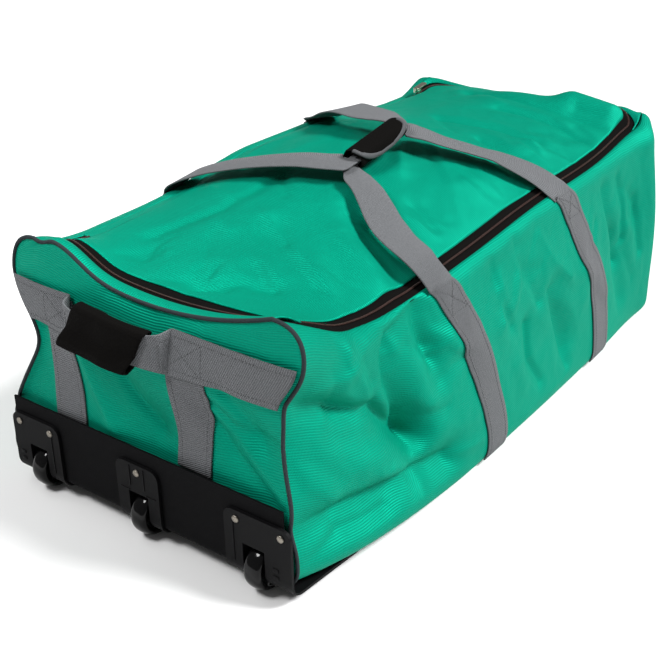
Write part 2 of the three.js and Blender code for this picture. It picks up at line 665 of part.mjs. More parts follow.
function carryHandle(side, free) {
  const front = sewnStations(side, HANDLE_SEWN_FRONT);
  const rear = sewnStations(side, HANDLE_SEWN_REAR).reverse();
  const rows = free.map((row) => vector(row.x, row.y, row.z));
  const lead = [front[front.length - 1].point, ...rows, rear[0].point];
  const curve = new THREE.CatmullRomCurve3(lead, false, "centripetal");
  const turned = [0, ...free.map((row) => row.turn), 0];
  const turns = turned.map((turn, k) => ({ at: k / (turned.length - 1), turn }));
  const middle = steps(STEPS.handleFree).slice(1, -1).map((t) => {
    const point = curve.getPoint(t);
    const tangent = curve.getTangent(t);
    const edge = t < 0.5 ? front[front.length - 1].normal : rear[0].normal;
    const toEdge = clamp(1 - Math.min(t, 1 - t) / LIFT_OFF, 0, 1);
    const normal = vector(0, 0, 1).lerp(edge, toEdge);
    normal.addScaledVector(tangent, -normal.dot(tangent)).normalize();
    normal.applyAxisAngle(tangent, degToRad(column(turns, "turn", t)));
    const past = Math.max(Math.abs(point.x - WRAP_MIDDLE_X) - WRAP_HALF_LENGTH, 0);
    const fromWrap = Math.hypot(past, point.y - WRAP.y);
    const spread = clamp((fromWrap - GATHER.reach) / GATHER.run, 0, 1);
    return { point, normal, width: lerp(GATHER.width, WEBBING_WIDTH, spread) };
  });
  return webbing([...front, ...middle, ...rear]);
}

const wrapAxisZ = (x) => lerp(WRAP.z1, WRAP.z2, (x - WRAP.x1) / (WRAP.x2 - WRAP.x1));

// The wrap is one padded strip wound round both handles. Its flap laps over the top to the right and
// narrows to a half ellipse.
function wrapGrid(turns, columns) {
  const { x1, x2, y, tip, halfWidth, halfHeight, thickness } = WRAP;
  const total = 2 * Math.PI + FLAP.overlap;
  const flat = halfWidth - halfHeight;
  return steps(turns).map((t) => {
    const fromEnd = total * (1 - t);
    const angle = FLAP.endAngle - fromEnd;
    const lap = clamp(1 - (fromEnd - FLAP.overlap) / FLAP.ramp, 0, 1);
    const radius = halfHeight + lap * (thickness + SEAM_GAP);
    const local = new THREE.Vector2(
      flat * clamp(RING_FLAT * Math.cos(angle), -1, 1) + radius * Math.cos(angle),
      radius * Math.sin(angle),
    ).rotateAround(new THREE.Vector2(), degToRad(tip));
    const round = clamp(1 - fromEnd / FLAP.round, 0, 1);
    const inset = ((x2 - x1) / 2) * (1 - Math.max(Math.sqrt(1 - round * round), FLAP.tip));
    return steps(columns).map((s) => {
      const x = lerp(x1 + inset, x2 - inset, s);
      return vector(x, y + local.x, wrapAxisZ(x) + local.y);
    });
  });
}

function wrapPad() {
  const inner = wrapGrid(STEPS.wrapRound, STEPS.wrapAlong);
  const normals = gridNormals(inner, BAG_MIDDLE).map((line, i) => line.map((normal, j) => {
    const { x, y, z } = inner[i][j];
    const away = vector(0, y - WRAP.y, z - wrapAxisZ(x));
    normal.x = 0;
    normal.normalize();
    return normal.dot(away) < 0 ? normal.negate() : normal;
  }));
  return solidBetween(offsetGrid(inner, normals, WRAP.thickness), inner);
}

// Cord bound along the flap's rounded edge, from one end of the wrap to the other.
function wrapBinding() {
  const grid = wrapGrid(60, 6).slice(-14);
  const side1 = grid.map((line) => line[0]);
  const side2 = grid.map((line) => line[line.length - 1]).reverse();
  const rim = [...side1, ...grid[grid.length - 1].slice(1, -1), ...side2];
  const path = rim.map((point) => {
    const away = vector(0, point.y - WRAP.y, point.z - wrapAxisZ(point.x)).normalize();
    return point.clone().addScaledVector(away, WRAP.thickness + BINDING_RADIUS + BINDING_CLEAR);
  });
  return tube(path, BINDING_RADIUS, STEPS.binding);
}

// The end panel's x at a place across and a height, for laying the webbing on it.
const END_SAMPLES = endGrid("wheel", 60, steps(48)).flat();
function wheelEndX(y, z) {
  const away = (point) => (point.y - y) ** 2 + (point.z - z) ** 2;
  return END_SAMPLES.reduce((best, point) => (away(point) < away(best) ? point : best)).x;
}

function endWeb(y) {
  const out = vector(-1, 0, 0);
  const stations = steps(STEPS.endWeb).map((t) => {
    const z = lerp(GUARD_TOP - END_WEB_TUCK, BAND_Z, t);
    return { point: vector(wheelEndX(y, z) - SEWN_GAP, y, z), normal: out };
  });
  return webbing(stations);
}

// How far the band is lifted into its loop, from 0 where it is sewn down to 1 at the grip.
function looped(y) {
  const t = clamp((y - GRAB_LOOP.y1) / (GRAB_LOOP.y2 - GRAB_LOOP.y1), 0, 1);
  return Math.sin(Math.PI * t) ** GRAB_LOOP.flat;
}

function bandX(y) {
  const heights = [-0.5, 0, 0.5].map((share) => BAND_Z + share * WEBBING_WIDTH);
  const sewn = Math.min(...heights.map((z) => wheelEndX(y, z))) - 2 * SEWN_GAP - WEBBING;
  return sewn - GRAB_LOOP.rise * looped(y);
}

function grabBand() {
  const out = vector(-1, 0, 0);
  const stations = steps(STEPS.band).map((t) => {
    const y = lerp(BAND_REACH.y1, BAND_REACH.y2, t);
    return { point: vector(bandX(y), y, BAND_Z), normal: out, width: WEBBING_WIDTH - GRAB_LOOP.narrow * looped(y) };
  });
  return webbing(stations);
}

// A sleeve round the grab handle, open where its edges meet behind.
function grabGrip() {
  const { y1, y2, halfHeight, halfDepth, thickness } = GRIP;
  const flat = halfHeight - halfDepth;
  const ring = (y, grow) => steps(STEPS.gripRound).map((t) => {
    const angle = lerp(GRIP.gap, 2 * Math.PI - GRIP.gap, t);
    const radius = halfDepth + grow;
    const rise = flat * clamp(RING_FLAT * Math.sin(angle), -1, 1);
    const x = bandX(y) - WEBBING / 2 + radius * Math.cos(angle);
    return vector(x, y, BAND_Z + rise + radius * Math.sin(angle));
  });
  const ys = steps(STEPS.gripAlong).map((t) => lerp(y1, y2, t));
  return solidBetween(ys.map((y) => ring(y, thickness)), ys.map((y) => ring(y, 0)));
}

function solidOf(geometry) {
  const bare = geometry.index ? geometry.toNonIndexed() : geometry.clone();
  bare.deleteAttribute("normal");
  bare.deleteAttribute("uv");
  const merged = mergeVertices(bare, 1e-4);
  return new wasm.Manifold(new wasm.Mesh({
    numProp: 3,
    vertProperties: new Float32Array(merged.getAttribute("position").array),
    triVerts: new Uint32Array(merged.index.array),
  }));
}

function geometryOf(solid) {
  const { vertProperties, triVerts } = solid.getMesh();
  const geometry = new THREE.BufferGeometry();
  geometry.setAttribute("position", new THREE.BufferAttribute(new Float32Array(vertProperties), 3));
  geometry.setIndex(new THREE.BufferAttribute(new Uint32Array(triVerts), 1));
  geometry.computeVertexNormals();
  return geometry;
}

// A box from its lowest to its highest corner.
function block(low, high) {
  const geometry = new THREE.BoxGeometry(high[0] - low[0], high[1] - low[1], high[2] - low[2]);
  return geometry.translate((low[0] + high[0]) / 2, (low[1] + high[1]) / 2, (low[2] + high[2]) / 2);
}

const WHEELS = [
  { name: "right", y: -WHEEL_SPACING },
  { name: "middle", y: 0 },
  { name: "left", y: WHEEL_SPACING },
];
const WELL_HALF_WIDTH = WELL_INNER_WIDTH / 2 + WELL_WALL;
const CUT = 60; // how far a cut runs out past the wheel end and the floor

// Cuts the three wheel wells out of a panel that they pass through.
function withWells(geometry) {
  const half = WELL_HALF_WIDTH + WELL_ROOM;
  const far = WELL_BACK + WELL_WALL + WELL_ROOM;
  const tall = WELL_TOP + WELL_WALL + WELL_ROOM;
  const cut = WHEELS.reduce(
    (solid, { y }) => solid.subtract(solidOf(block([-CUT, y - half, -CUT], [far, y + half, tall]))),
    solidOf(geometry),
  );
  return geometryOf(cut);
}

// A sheet bent once under the wheel end: a face, a bend and a falling lip, drawn in X and Z.
function bentSheet({ faceX, underside, top, lip, bend, innerBend, thickness }) {
  const fall = SKID_SLOPE * (lip - faceX - bend);
  const inner = { x: faceX + thickness + innerBend, z: underside + thickness + innerBend };
  const shape = new THREE.Shape();
  shape.moveTo(faceX, top);
  shape.lineTo(faceX, underside + bend);
  shape.absarc(faceX + bend, underside + bend, bend, Math.PI, 1.5 * Math.PI, false);
  shape.lineTo(lip, underside - fall);
  shape.lineTo(lip, underside + thickness - fall);
  shape.lineTo(inner.x, underside + thickness);
  shape.absarc(inner.x, inner.z, innerBend, 1.5 * Math.PI, Math.PI, true);
  shape.lineTo(faceX + thickness, top);
  shape.closePath();
  return shape;
}

function extrudedAcross(shape, y1, y2) {
  const settings = { depth: y2 - y1, bevelEnabled: false, curveSegments: 4 };
  return new THREE.ExtrudeGeometry(shape, settings).rotateX(QUARTER).translate(0, y2, 0);
}

function endGuard() {
  const shape = bentSheet({
    faceX: GUARD_FACE_X,
    underside: GUARD_UNDERSIDE,
    top: GUARD_TOP,
    lip: GUARD_LIP,
    bend: GUARD_BEND,
    innerBend: GUARD_BEND - GUARD_THICKNESS,
    thickness: GUARD_THICKNESS,
  });
  return withWells(extrudedAcross(shape, GUARD_REACH.y1, GUARD_REACH.y2));
}

const HOUSINGS = {
  right: { y1: -221, y2: -130, lip: 126, rivets: [-208, -147] },
  middle: { y1: -33, y2: 33, lip: 92, rivets: [0] },
  left: { y1: 130, y2: 212, lip: 126, rivets: [145, 199] },
};

// A moulded housing: a bent plate with rounded top corners and a wheel well behind it.
function housing(name, wheelY) {
  const { y1, y2, lip } = HOUSINGS[name];
  const plate = bentSheet({
    faceX: HOUSING_FACE_X,
    underside: HOUSING_UNDERSIDE,
    top: HOUSING_TOP,
    lip,
    bend: HOUSING_BEND,
    innerBend: HOUSING_INNER_BEND,
    thickness: HOUSING_THICKNESS,
  });
  const radius = HOUSING_CORNER;
  const outline = new THREE.Shape();
  outline.moveTo(y1, 0);
  outline.lineTo(y2, 0);
  outline.lineTo(y2, HOUSING_TOP - radius);
  outline.absarc(y2 - radius, HOUSING_TOP - radius, radius, 0, QUARTER, false);
  outline.absarc(y1 + radius, HOUSING_TOP - radius, radius, QUARTER, Math.PI, false);
  outline.closePath();
  const settings = { depth: lip + CUT, bevelEnabled: false, curveSegments: 3 };
  const mould = new THREE.ExtrudeGeometry(outline, settings).rotateY(QUARTER).rotateX(QUARTER);
  const half = WELL_INNER_WIDTH / 2;
  const [outer1, outer2] = [wheelY - WELL_HALF_WIDTH, wheelY + WELL_HALF_WIDTH];
  const back = WELL_BACK + WELL_WALL;
  const wellX = HOUSING_FACE_X + HOUSING_THICKNESS / 2;
  const wellZ = HOUSING_UNDERSIDE + HOUSING_THICKNESS / 2;
  const corner = HOUSING_BEND / 2;
  const walls = block([wellX, outer1, wellZ + corner], [back, outer2, WELL_TOP + WELL_WALL]);
  const under = block([wellX + corner, outer1, wellZ], [back, outer2, wellZ + HOUSING_BEND]);
  const hollow = block([-CUT, wheelY - half, -CUT], [WELL_BACK, wheelY + half, WELL_TOP]);
  const bore = AXLE_RADIUS + BORE_CLEARANCE;
  const hole = new THREE.CylinderGeometry(bore, bore, 4 * WELL_INNER_WIDTH, STEPS.axleRound);
  hole.translate(WHEEL_X, wheelY, WHEEL_RADIUS);
  const bent = solidOf(extrudedAcross(plate, y1, y2)).intersect(solidOf(mould));
  const moulded = bent.add(solidOf(walls)).add(solidOf(under));
  return geometryOf(moulded.subtract(solidOf(hollow)).subtract(solidOf(hole)));
}

// Turned about the axle: a hub on the bore, a thin web and a rounded tyre.
function wheel() {
  const half = WHEEL_WIDTH / 2;
  const bore = AXLE_RADIUS + BORE_CLEARANCE;
  const side = [
    [bore, half],
    [HUB_RADIUS, half],
    [HUB_RADIUS + WEB_STEP, half - WEB_STEP],
    [RIM_RADIUS - WEB_STEP, half - WEB_STEP],
    [RIM_RADIUS, half],
    [WHEEL_RADIUS, half - TREAD_ROUND],
  ];
  const profile = [...side, ...side.map(([r, y]) => [r, -y]).reverse(), side[0]].reverse();
  return new THREE.LatheGeometry(profile.map(([r, y]) => new THREE.Vector2(r, y)), STEPS.wheelRound);
}

function rivet() {
  const dome = steps(2).map((t) => new THREE.Vector2(
    RIVET_RADIUS * Math.cos(QUARTER * t),
    RIVET_RIM + RIVET_DOME * Math.sin(QUARTER * t),
  ));
  dome[dome.length - 1].x = 0;
  const profile = [new THREE.Vector2(0, 0), new THREE.Vector2(RIVET_RADIUS, 0), ...dome];
  return new THREE.LatheGeometry(profile, STEPS.rivetRound).rotateZ(QUARTER);
}

// A flat plate with round ends lying along X, with a hole near its far end.
function tab(length, width, thickness, holeRadius) {
  const half = width / 2;
  const shape = new THREE.Shape();
  shape.absarc(half, 0, half, QUARTER, 3 * QUARTER, false);
  shape.absarc(length - half, 0, half, -QUARTER, QUARTER, false);
  shape.closePath();
  if (holeRadius > 0) {
    const hole = new THREE.Path();
    hole.absarc(length - half, 0, holeRadius, 0, 2 * Math.PI, true);
    shape.holes.push(hole);
  }
  return new THREE.ExtrudeGeometry(shape, { depth: thickness, bevelEnabled: false, curveSegments: 4 });
}

// Stands a flat piece on the zip: its length along the zip, its face away from the bag.
function onZip(mesh, distance, height) {
  const place = (d) => {
    const { x, y } = planPoint(d, ZIP_WIDTH / 2);
    return topPoint(x, y);
  };
  const along = place(distance + 1).sub(place(distance - 1)).normalize();
  const across = vector(0, 0, 1).cross(along).normalize();
  const out = along.clone().cross(across).normalize();
  mesh.quaternion.setFromRotationMatrix(new THREE.Matrix4().makeBasis(along, across, out));
  mesh.position.copy(place(distance).addScaledVector(out, height));
}

function finish(colour, roughness, metalness = 0) {
  return new THREE.MeshStandardMaterial({ color: COLOURS[colour], roughness, metalness });
}

const cloth = () => finish("green", 0.62);
const strap = () => finish("grey", 0.78);
const padding = () => finish("black", 0.85);
const tape = () => finish("black", 0.7);
const cord = () => finish("charcoal", 0.7);
const plastic = () => finish("plastic", 0.42);
const steel = () => finish("steel", 0.3, 1);
const metal = () => finish("brass", 0.35, 1);

const bag = new THREE.Group();

function place(name, geometry, material, position = [0, 0, 0]) {
  const mesh = new THREE.Mesh(geometry, material);
  mesh.name = name;
  mesh.position.set(...position);
  bag.add(mesh);
  return mesh;
}

// Cloth body
place("side_right", sidePanel("right"), cloth());
place("side_left", sidePanel("left"), cloth());
place("base_panel", withWells(basePanel()), cloth());
place("lid_panel", lidPanel(), cloth());
place("lid_hinge", lidHinge(), cloth());
place("border_wheel", borderStrip("wheel"), cloth());
place("border_far", borderStrip("far"), cloth());
place("end_panel_wheel", withWells(panel(endGrid("wheel", STEPS.endWheel, SIDE_ROWS))), cloth());
place("end_panel_far", panel(endGrid("far", STEPS.endFar, SIDE_ROWS)), cloth());

// Zip and piping
place("zip_tape", zipTape(), tape());
const sliderAt = PLAN_LENGTH - ZIP_START - SLIDER.length - SLIDER.stop;
const slider = place("zip_slider", tab(SLIDER.length, SLIDER.width, SLIDER.height, 0), metal());
onZip(slider, sliderAt, SLIDER.clear);
const pullShape = tab(PULL.length, PULL.width, PULL.height, PULL.hole);
pullShape.translate(SLIDER.length - PULL.length, 0, 0);
onZip(place("zip_pull", pullShape, metal()), sliderAt, SLIDER.clear + SLIDER.height + PULL.clear);
place("piping_wheel", tube(pipingPath("wheel"), PIPING_RADIUS, STEPS.pipingWheel), cord());
place("piping_far", tube(pipingPath("far"), PIPING_RADIUS, STEPS.pipingFar), cord());

// Webbing, wrap and grab handle
place("handle_right", carryHandle("right", RIGHT_HANDLE_FREE), strap());
place("handle_left", carryHandle("left", LEFT_HANDLE_FREE), strap());
place("wrap_pad", wrapPad(), padding());
place("wrap_binding", wrapBinding(), strap());
place("grab_band", grabBand(), strap());
place("grab_grip", grabGrip(), padding());
for (const [name, y] of Object.entries(END_WEB_Y)) {
  place(name, endWeb(y), strap());
}

// Guard, housings, wheels, axles and rivets
place("end_guard", endGuard(), plastic());
let rivetCount = 0;
for (const { name, y } of WHEELS) {
  place(`housing_${name}`, housing(name, y), plastic());
  place(`wheel_${name}`, wheel(), finish("rubber", 0.35), [WHEEL_X, y, WHEEL_RADIUS]);
  const axle = new THREE.CylinderGeometry(AXLE_RADIUS, AXLE_RADIUS, 2 * WELL_HALF_WIDTH, STEPS.axleRound);
  place(`axle_${name}`, axle, steel(), [WHEEL_X, y, WHEEL_RADIUS]);
  for (const rivetY of HOUSINGS[name].rivets) {
    rivetCount += 1;
    place(`rivet_${rivetCount}`, rivet(), steel(), [HOUSING_FACE_X - RIVET_GAP, rivetY, RIVET_Z]);
  }
}

// The origin is on the floor under the middle of the bag.
const extent = new THREE.Box3().setFromObject(bag, true);
const middle = extent.getCenter(vector(0, 0, 0));
bag.position.set(-middle.x, -middle.y, -extent.min.z);

export default bag;
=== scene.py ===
"""A wheeled sports holdall: the soft cloth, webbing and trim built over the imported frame."""

import math

import bmesh
import bpy
import numpy as np
from mathutils import Matrix, Vector


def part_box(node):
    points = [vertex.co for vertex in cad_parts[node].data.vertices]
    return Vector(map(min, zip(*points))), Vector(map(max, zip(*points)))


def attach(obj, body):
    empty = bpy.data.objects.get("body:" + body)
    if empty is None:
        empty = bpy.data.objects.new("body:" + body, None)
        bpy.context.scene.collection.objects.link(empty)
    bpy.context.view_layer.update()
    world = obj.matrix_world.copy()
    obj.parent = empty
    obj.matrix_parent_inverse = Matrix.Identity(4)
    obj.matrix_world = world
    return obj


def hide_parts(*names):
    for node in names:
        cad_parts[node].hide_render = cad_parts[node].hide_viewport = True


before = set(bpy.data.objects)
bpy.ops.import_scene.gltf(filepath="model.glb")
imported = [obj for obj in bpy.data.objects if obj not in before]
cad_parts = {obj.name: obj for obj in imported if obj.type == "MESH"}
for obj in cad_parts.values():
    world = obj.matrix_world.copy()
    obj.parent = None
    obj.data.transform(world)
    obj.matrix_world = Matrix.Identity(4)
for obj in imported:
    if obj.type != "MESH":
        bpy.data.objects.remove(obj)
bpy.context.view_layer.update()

bl_info = {
    "name": "Wheeled holdall",
    "version": (1, 0, 0),
    "blender": (4, 5, 0),
    "location": "View3D > Sidebar > Holdall",
    "description": "Builds the cloth, webbing, zip and wheels of a sports holdall on its packed frame",
    "category": "Object",
}


def rows(names, *values):
    """A table with named columns."""
    return {name: np.array(column, float) for name, column in zip(names.split(), zip(*values))}


# Sizes in millimetres, in the bag's own axes: x from the wheel end, y to the hinge side, z up
MM = 0.001
FABRIC = 1.6
WEBBING = 2.2
WEBBING_WIDTH = 50
SEWN_GAP = 0.5
PIPING_RADIUS = 2.3
TOP_HALF_WIDTH = 190
ZIP_WIDTH = 22
ZIP_END_INSET = {"wheel": 18, "far": 10}
ZIP_CORNER = 34
FOLD_MARGIN = 0.2
ZIP_TAIL = 26
WHEEL_X = 27
WHEEL_RADIUS = 29
WHEEL_WIDTH = 23
HUB_RADIUS = 12
RIM_RADIUS = 23
WEB_STEP = 2.5
BORE = 4.5
AXLE_RADIUS = 4
AXLE_LENGTH = 38
GUARD_TOP = 120
HOUSING_FACE_X = 6.4
RIVET_RADIUS = 4.4
QUARTER = math.pi / 2
UP = np.array((0.0, 0.0, 1.0))

WHEEL_END = rows("at x", (0, 18), (0.3, 18), (0.6, 24), (1, 32))
FAR_END = rows("at x", (0, 922), (0.35, 932), (0.7, 920), (1, 905))
WHEEL_END_SWELL = rows("at out", (0, 0), (0.3, -3), (0.5, -6), (0.78, 12), (1, 0))
FAR_END_SWELL = rows("at out", (0, 0), (0.35, 16), (0.75, 10), (1, 0))

# Cross sections by share of the length
BASE = rows(
    "at base_z foot crown",
    (0, 24, 196, -33),
    (0.05, 21, 206, -14),
    (0.13, 14, 216, 18),
    (0.25, 4.5, 221, 40),
    (0.36, 0, 222, 47),
    (0.55, 0, 222, 47),
    (0.75, 0, 217, 37),
    (0.91, 0, 207, 41),
    (0.965, 1, 202, 21),
    (1, 5, 198, -18),
)
RIGHT = rows(
    "at low bulge high round seam seam_z",
    (0, 220, -22, 228, 40, 187, 325),
    (0.05, 234, -9, 225, 32, 194, 305),
    (0.12, 244, 2, 218, 24, 200, 276),
    (0.22, 249, 5, 214, 20, 201, 265),
    (0.4, 250, 7, 213, 20, 201, 271),
    (0.6, 249, 7, 213, 20, 201, 285),
    (0.8, 244, 5, 213, 20, 201, 291),
    (0.93, 238, 3, 218, 25, 198, 304),
    (0.97, 240, 4, 226, 28, 200, 312),
    (1, 224, -8, 211, 27, 194, 324),
)
LEFT = rows(
    "at low bulge high round seam seam_z",
    (0, 229, -37, 190, 38, 156, 330),
    (0.05, 243, -18, 197, 42, 160, 312),
    (0.13, 250, 0, 206, 44, 166, 304),
    (0.28, 250, 4, 212, 46, 170, 307),
    (0.48, 249, 7, 214, 46, 172, 328),
    (0.62, 248, 6, 215, 46, 173, 328),
    (0.8, 244, 5, 215, 46, 174, 313),
    (0.93, 237, 0, 216, 40, 178, 308),
    (1, 226, -9, 214, 32, 182, 326),
)

CREST = 2.5
# Spread of the scattered creases: heading in degrees, half length and bend in millimetres, lean by depth
SCATTER = dict(heading=22, reach=(14, 38), bend=5, lean=0.6)


def scattered(seed, count, x_span, other_span, heading, scale, depth, widths):
    """Small creases at fixed chance places, mostly along one heading in degrees."""
    chance = np.random.default_rng(seed)
    creases = []
    for _ in range(count):
        x, other = chance.uniform(*x_span), chance.uniform(*other_span)
        angle = math.radians(heading + chance.normal(0, SCATTER["heading"]))
        reach, bend = chance.uniform(*SCATTER["reach"]), chance.normal(0, SCATTER["bend"])
        go_x, go_o = reach * math.cos(angle), reach * math.sin(angle) / scale
        line = ((x - go_x, other - go_o), (x + bend, other + bend / scale), (x + go_x, other + go_o))
        width, rise = chance.uniform(*widths), chance.normal(0, depth)
        creases.append((width, rise, chance.normal(0, SCATTER["lean"] * depth), line))
    return tuple(creases)


# Broad folds, each from one place to another: length along the bag against the share of the height
RIGHT_FOLDS = rows(
    "x1 other1 x2 other2 width depth",
    (40, 0.72, 225, 0.38, 26, -9),
    (196, 0.92, 236, 0.4, 20, -8),
    (257, 0.95, 280, 0.6, 18, -7),
    (130, 0.42, 345, 0.3, 24, 4),
    (30, 0.22, 285, 0.18, 24, -9),
    (455, 0.7, 530, 0.36, 24, -4),
    (575, 0.6, 600, 0.25, 22, -5),
    (780, 0.6, 800, 0.24, 26, -6),
)
LEFT_FOLDS = rows(
    "x1 other1 x2 other2 width depth",
    (30, 0.6, 230, 0.34, 28, -8),
    (225, 0.86, 280, 0.4, 22, -6),
    (520, 0.8, 560, 0.3, 26, -5),
    (760, 0.7, 800, 0.26, 26, -6),
)
LID_FOLDS = rows(
    "x1 other1 x2 other2 width depth",
    (100, 0.5, 300, -0.5, 34, -5),
    (262, -0.95, 330, -0.3, 22, -7),
    (232, -0.9, 275, -0.4, 20, 6),
    (560, -0.9, 640, -0.1, 36, -4),
    (700, 0.6, 860, 0.2, 40, -5),
    (20, 0.72, 60, 0.78, 44, 16),
    (866, -0.86, 862, -0.5, 30, 21),
)

# Fine creases: width, depth along the line, rise to its left and fall to its right, then the line
RIGHT_CREASES = (
    (15, -20, 6, ((16, 0.71), (67, 0.71), (161, 0.64), (192, 0.52), (230, 0.38))),
    (15, 8, 0, ((57, 0.76), (98, 0.82), (130, 0.9), (148, 0.95))),
    (14, -20, -6, ((252, 0.99), (196, 0.93), (184, 0.84), (188, 0.73), (210, 0.56), (238, 0.36))),
    (12, -15, -5, ((257, 0.97), (254, 0.89), (270, 0.7))),
    (12, -7, 0, ((136, 0.88), (156, 0.76))),
    (12, -7, 0, ((86, 0.97), (100, 0.86))),
    (9, 5, 0, ((108, 0.94), (142, 0.72))),
    (16, -17, 6, ((14, 0.24), (51, 0.25), (117, 0.26), (192, 0.25), (285, 0.2))),
    (12, -9, 3, ((31, 0.1), (80, 0.16), (161, 0.15))),
    (12, 5, 0, ((150, 0.34), (270, 0.2), (360, 0.16))),
    (12, -8, 3, ((418, 0.93), (430, 0.72), (452, 0.58))),
    (12, -8, -3, ((474, 0.95), (482, 0.83), (524, 0.58))),
    (11, -8, 3, ((494, 0.52), (497, 0.33), (524, 0.18))),
    (11, -8, -3, ((556, 0.58), (588, 0.3), (602, 0.14))),
    (10, 5, 0, ((540, 0.9), (570, 0.72), (610, 0.6))),
    (12, -11, -4, ((736, 0.88), (749, 0.73), (768, 0.6), (784, 0.44))),
    (11, -8, 3, ((786, 0.88), (803, 0.72), (808, 0.54))),
    (11, -7, 2, ((846, 0.7), (866, 0.4))),
)
LEFT_CREASES = (
    (12, -5, 3, ((40, 0.78), (140, 0.62), (236, 0.36))),
    (10, -5, -3, ((260, 0.92), (240, 0.7), (262, 0.4))),
    (10, -4, 2, ((430, 0.86), (470, 0.6), (492, 0.36))),
    (10, -4, -2, ((540, 0.8), (580, 0.5), (590, 0.24))),
    (10, -5, 3, ((760, 0.8), (790, 0.5), (800, 0.3))),
    (9, -4, 2, ((40, 0.3), (150, 0.2), (280, 0.1))),
)
LID_CREASES = (
    (17, 8, 4, ((246, 0.06), (193, -0.49), (158, -0.86))),
    (12, -7, 3, ((94, -0.02), (132, -0.24), (141, -0.46))),
    (13, -14, -4, ((326, -0.44), (308, -0.72), (286, -0.98))),
    (11, -7, 0, ((66, 0.34), (100, 0.02), (106, -0.22))),
    (12, -6, 3, ((150, 0.62), (240, 0.4), (330, 0.34))),
    (12, -8, 3, ((556, -0.24), (600, -0.62), (606, -0.94))),
    (12, -8, -3, ((660, 0.14), (690, -0.3), (702, -0.86))),
    (11, -9, 3, ((768, -0.06), (782, -0.5), (770, -0.9))),
    (11, -8, 3, ((822, 0.34), (812, -0.2), (826, -0.84))),
    (9, -7, 0, ((848, -0.97), (834, -0.58))),
)
# Creases of the wheel end, by place across it and height
END_CREASES = (
    (17, -14, -5, ((-92, 214), (-137, 187), (-204, 186))),
    (16, 11, 0, ((-93, 206), (-150, 170), (-210, 128))),
    (15, -13, 0, ((-94, 192), (-134, 152), (-190, 122))),
    (15, -10, 5, ((-124, 224), (-150, 204), (-172, 176))),
    (18, 10, 0, ((84, 214), (72, 176), (48, 132))),
    (16, -10, 3, ((40, 222), (10, 176), (-24, 146))),
    (16, -11, 3, ((158, 222), (168, 176), (196, 128))),
    (16, -8, 3, ((40, 296), (-30, 288), (-100, 300))),
)

# The carry handles: x of the sewn legs by share of the side's outline, then the free run over the lid
SEWN_FRONT = rows("at x", (0.12, 391), (0.22, 396), (0.45, 374), (0.7, 342), (0.95, 302))
SEWN_REAR = rows("at x", (0.12, 709), (0.22, 712), (0.45, 696), (0.7, 657), (0.95, 618))
RIGHT_FREE = rows(
    "x y z turn",
    (298, -187, 295, 0),
    (304, -152, 310, 0),
    (320, -122, 320, 0),
    (338, -98, 329, 0),
    (354, -74, 339, 0),
    (368, -46, 348, 3),
    (381, -30, 354.6, 6),
    (434, -30, 364, 6),
    (488, -30, 373.4, 6),
    (503, -52, 369, 4),
    (522, -80, 357, 0),
    (545, -110, 345, 0),
    (568, -138, 332, 0),
    (596, -178, 309, 0),
)
LEFT_FREE = rows(
    "x y z turn",
    (302, 184, 318, 0),
    (312, 146, 335, 0),
    (330, 88, 350, 0),
    (350, 28, 359, 2),
    (367, -12, 359, 4),
    (381, -30, 359, 6),
    (434, -30, 368.6, 6),
    (490, -30, 378.2, 6),
    (504, 0, 381, 2),
    (508, 38, 381, -4),
    (518, 74, 379, -4),
    (532, 104, 367, 0),
    (550, 134, 351, 0),
    (578, 166, 338, 0),
    (608, 187, 327, 0),
)
# The webbing's width inside the wrap and where it starts to spread, then the width that it reaches first
# and over what length, at its front and rear, and the length over which it lies open again
GATHER = dict(width=17, reach=3, part=(37, 44), right=(26, 10), left=(9, 40), rest=150)
LIFT_OFF = 0.16

WRAP = dict(x1=384, x2=485, y=-30, z1=359, z2=377, tip=6, half_width=13, half_height=7.4, thickness=2.6)
FLAP = dict(overlap=2.1, end_angle=3.5, ramp=0.9, round=1.7, tip=0.3, gap=0.8)
WRAP_ROWS, WRAP_COLUMNS = 150, 30
WRAP_EDGE = 3
# The binding round the flap: rows of the wrap that it covers, its middle from the rim and its half sizes
BINDING = dict(rows=36, inset=2.6, half_width=3.6, over=0.9, points=120, sides=14)
RING_FLAT = 1.6

BAND_Z = 257
BAND_REACH = (-216, 170)
GRAB_LOOP = dict(y1=-58, y2=92, rise=17, flat=0.45, narrow=14, level=6)
GRIP = dict(y1=-31, y2=76, half_height=22, slant=10, dip=2.5, lean=0.3, thickness=3)
BAND_FREE = dict(right=-110, left=140, room=5)
END_WEBS = {"end_web_right": -77, "end_web_left": 115}

LID_SPREAD, SIDE_SPREAD = 190, 270
LID_CREASES += scattered(3, 30, (110, 850), (-0.86, -0.6), 84, LID_SPREAD, 2.2, (7, 13))
LID_CREASES += scattered(5, 16, (100, 140), (-0.6, 0.7), 12, LID_SPREAD, 1.8, (7, 12))
LID_CREASES += scattered(8, 26, (140, 840), (-0.6, 0.8), 60, LID_SPREAD, 2.6, (9, 17))
RIGHT_CREASES += scattered(11, 26, (60, 890), (0.7, 0.94), 84, SIDE_SPREAD, 2.2, (7, 13))
RIGHT_CREASES += scattered(12, 20, (410, 880), (0.2, 0.75), 110, SIDE_SPREAD, 3.2, (12, 22))
RIGHT_CREASES += scattered(13, 14, (40, 330), (0.2, 0.8), 150, SIDE_SPREAD, 3.0, (9, 16))
LEFT_CREASES += scattered(21, 44, (40, 890), (0.15, 0.95), 96, SIDE_SPREAD, 2.8, (9, 18))

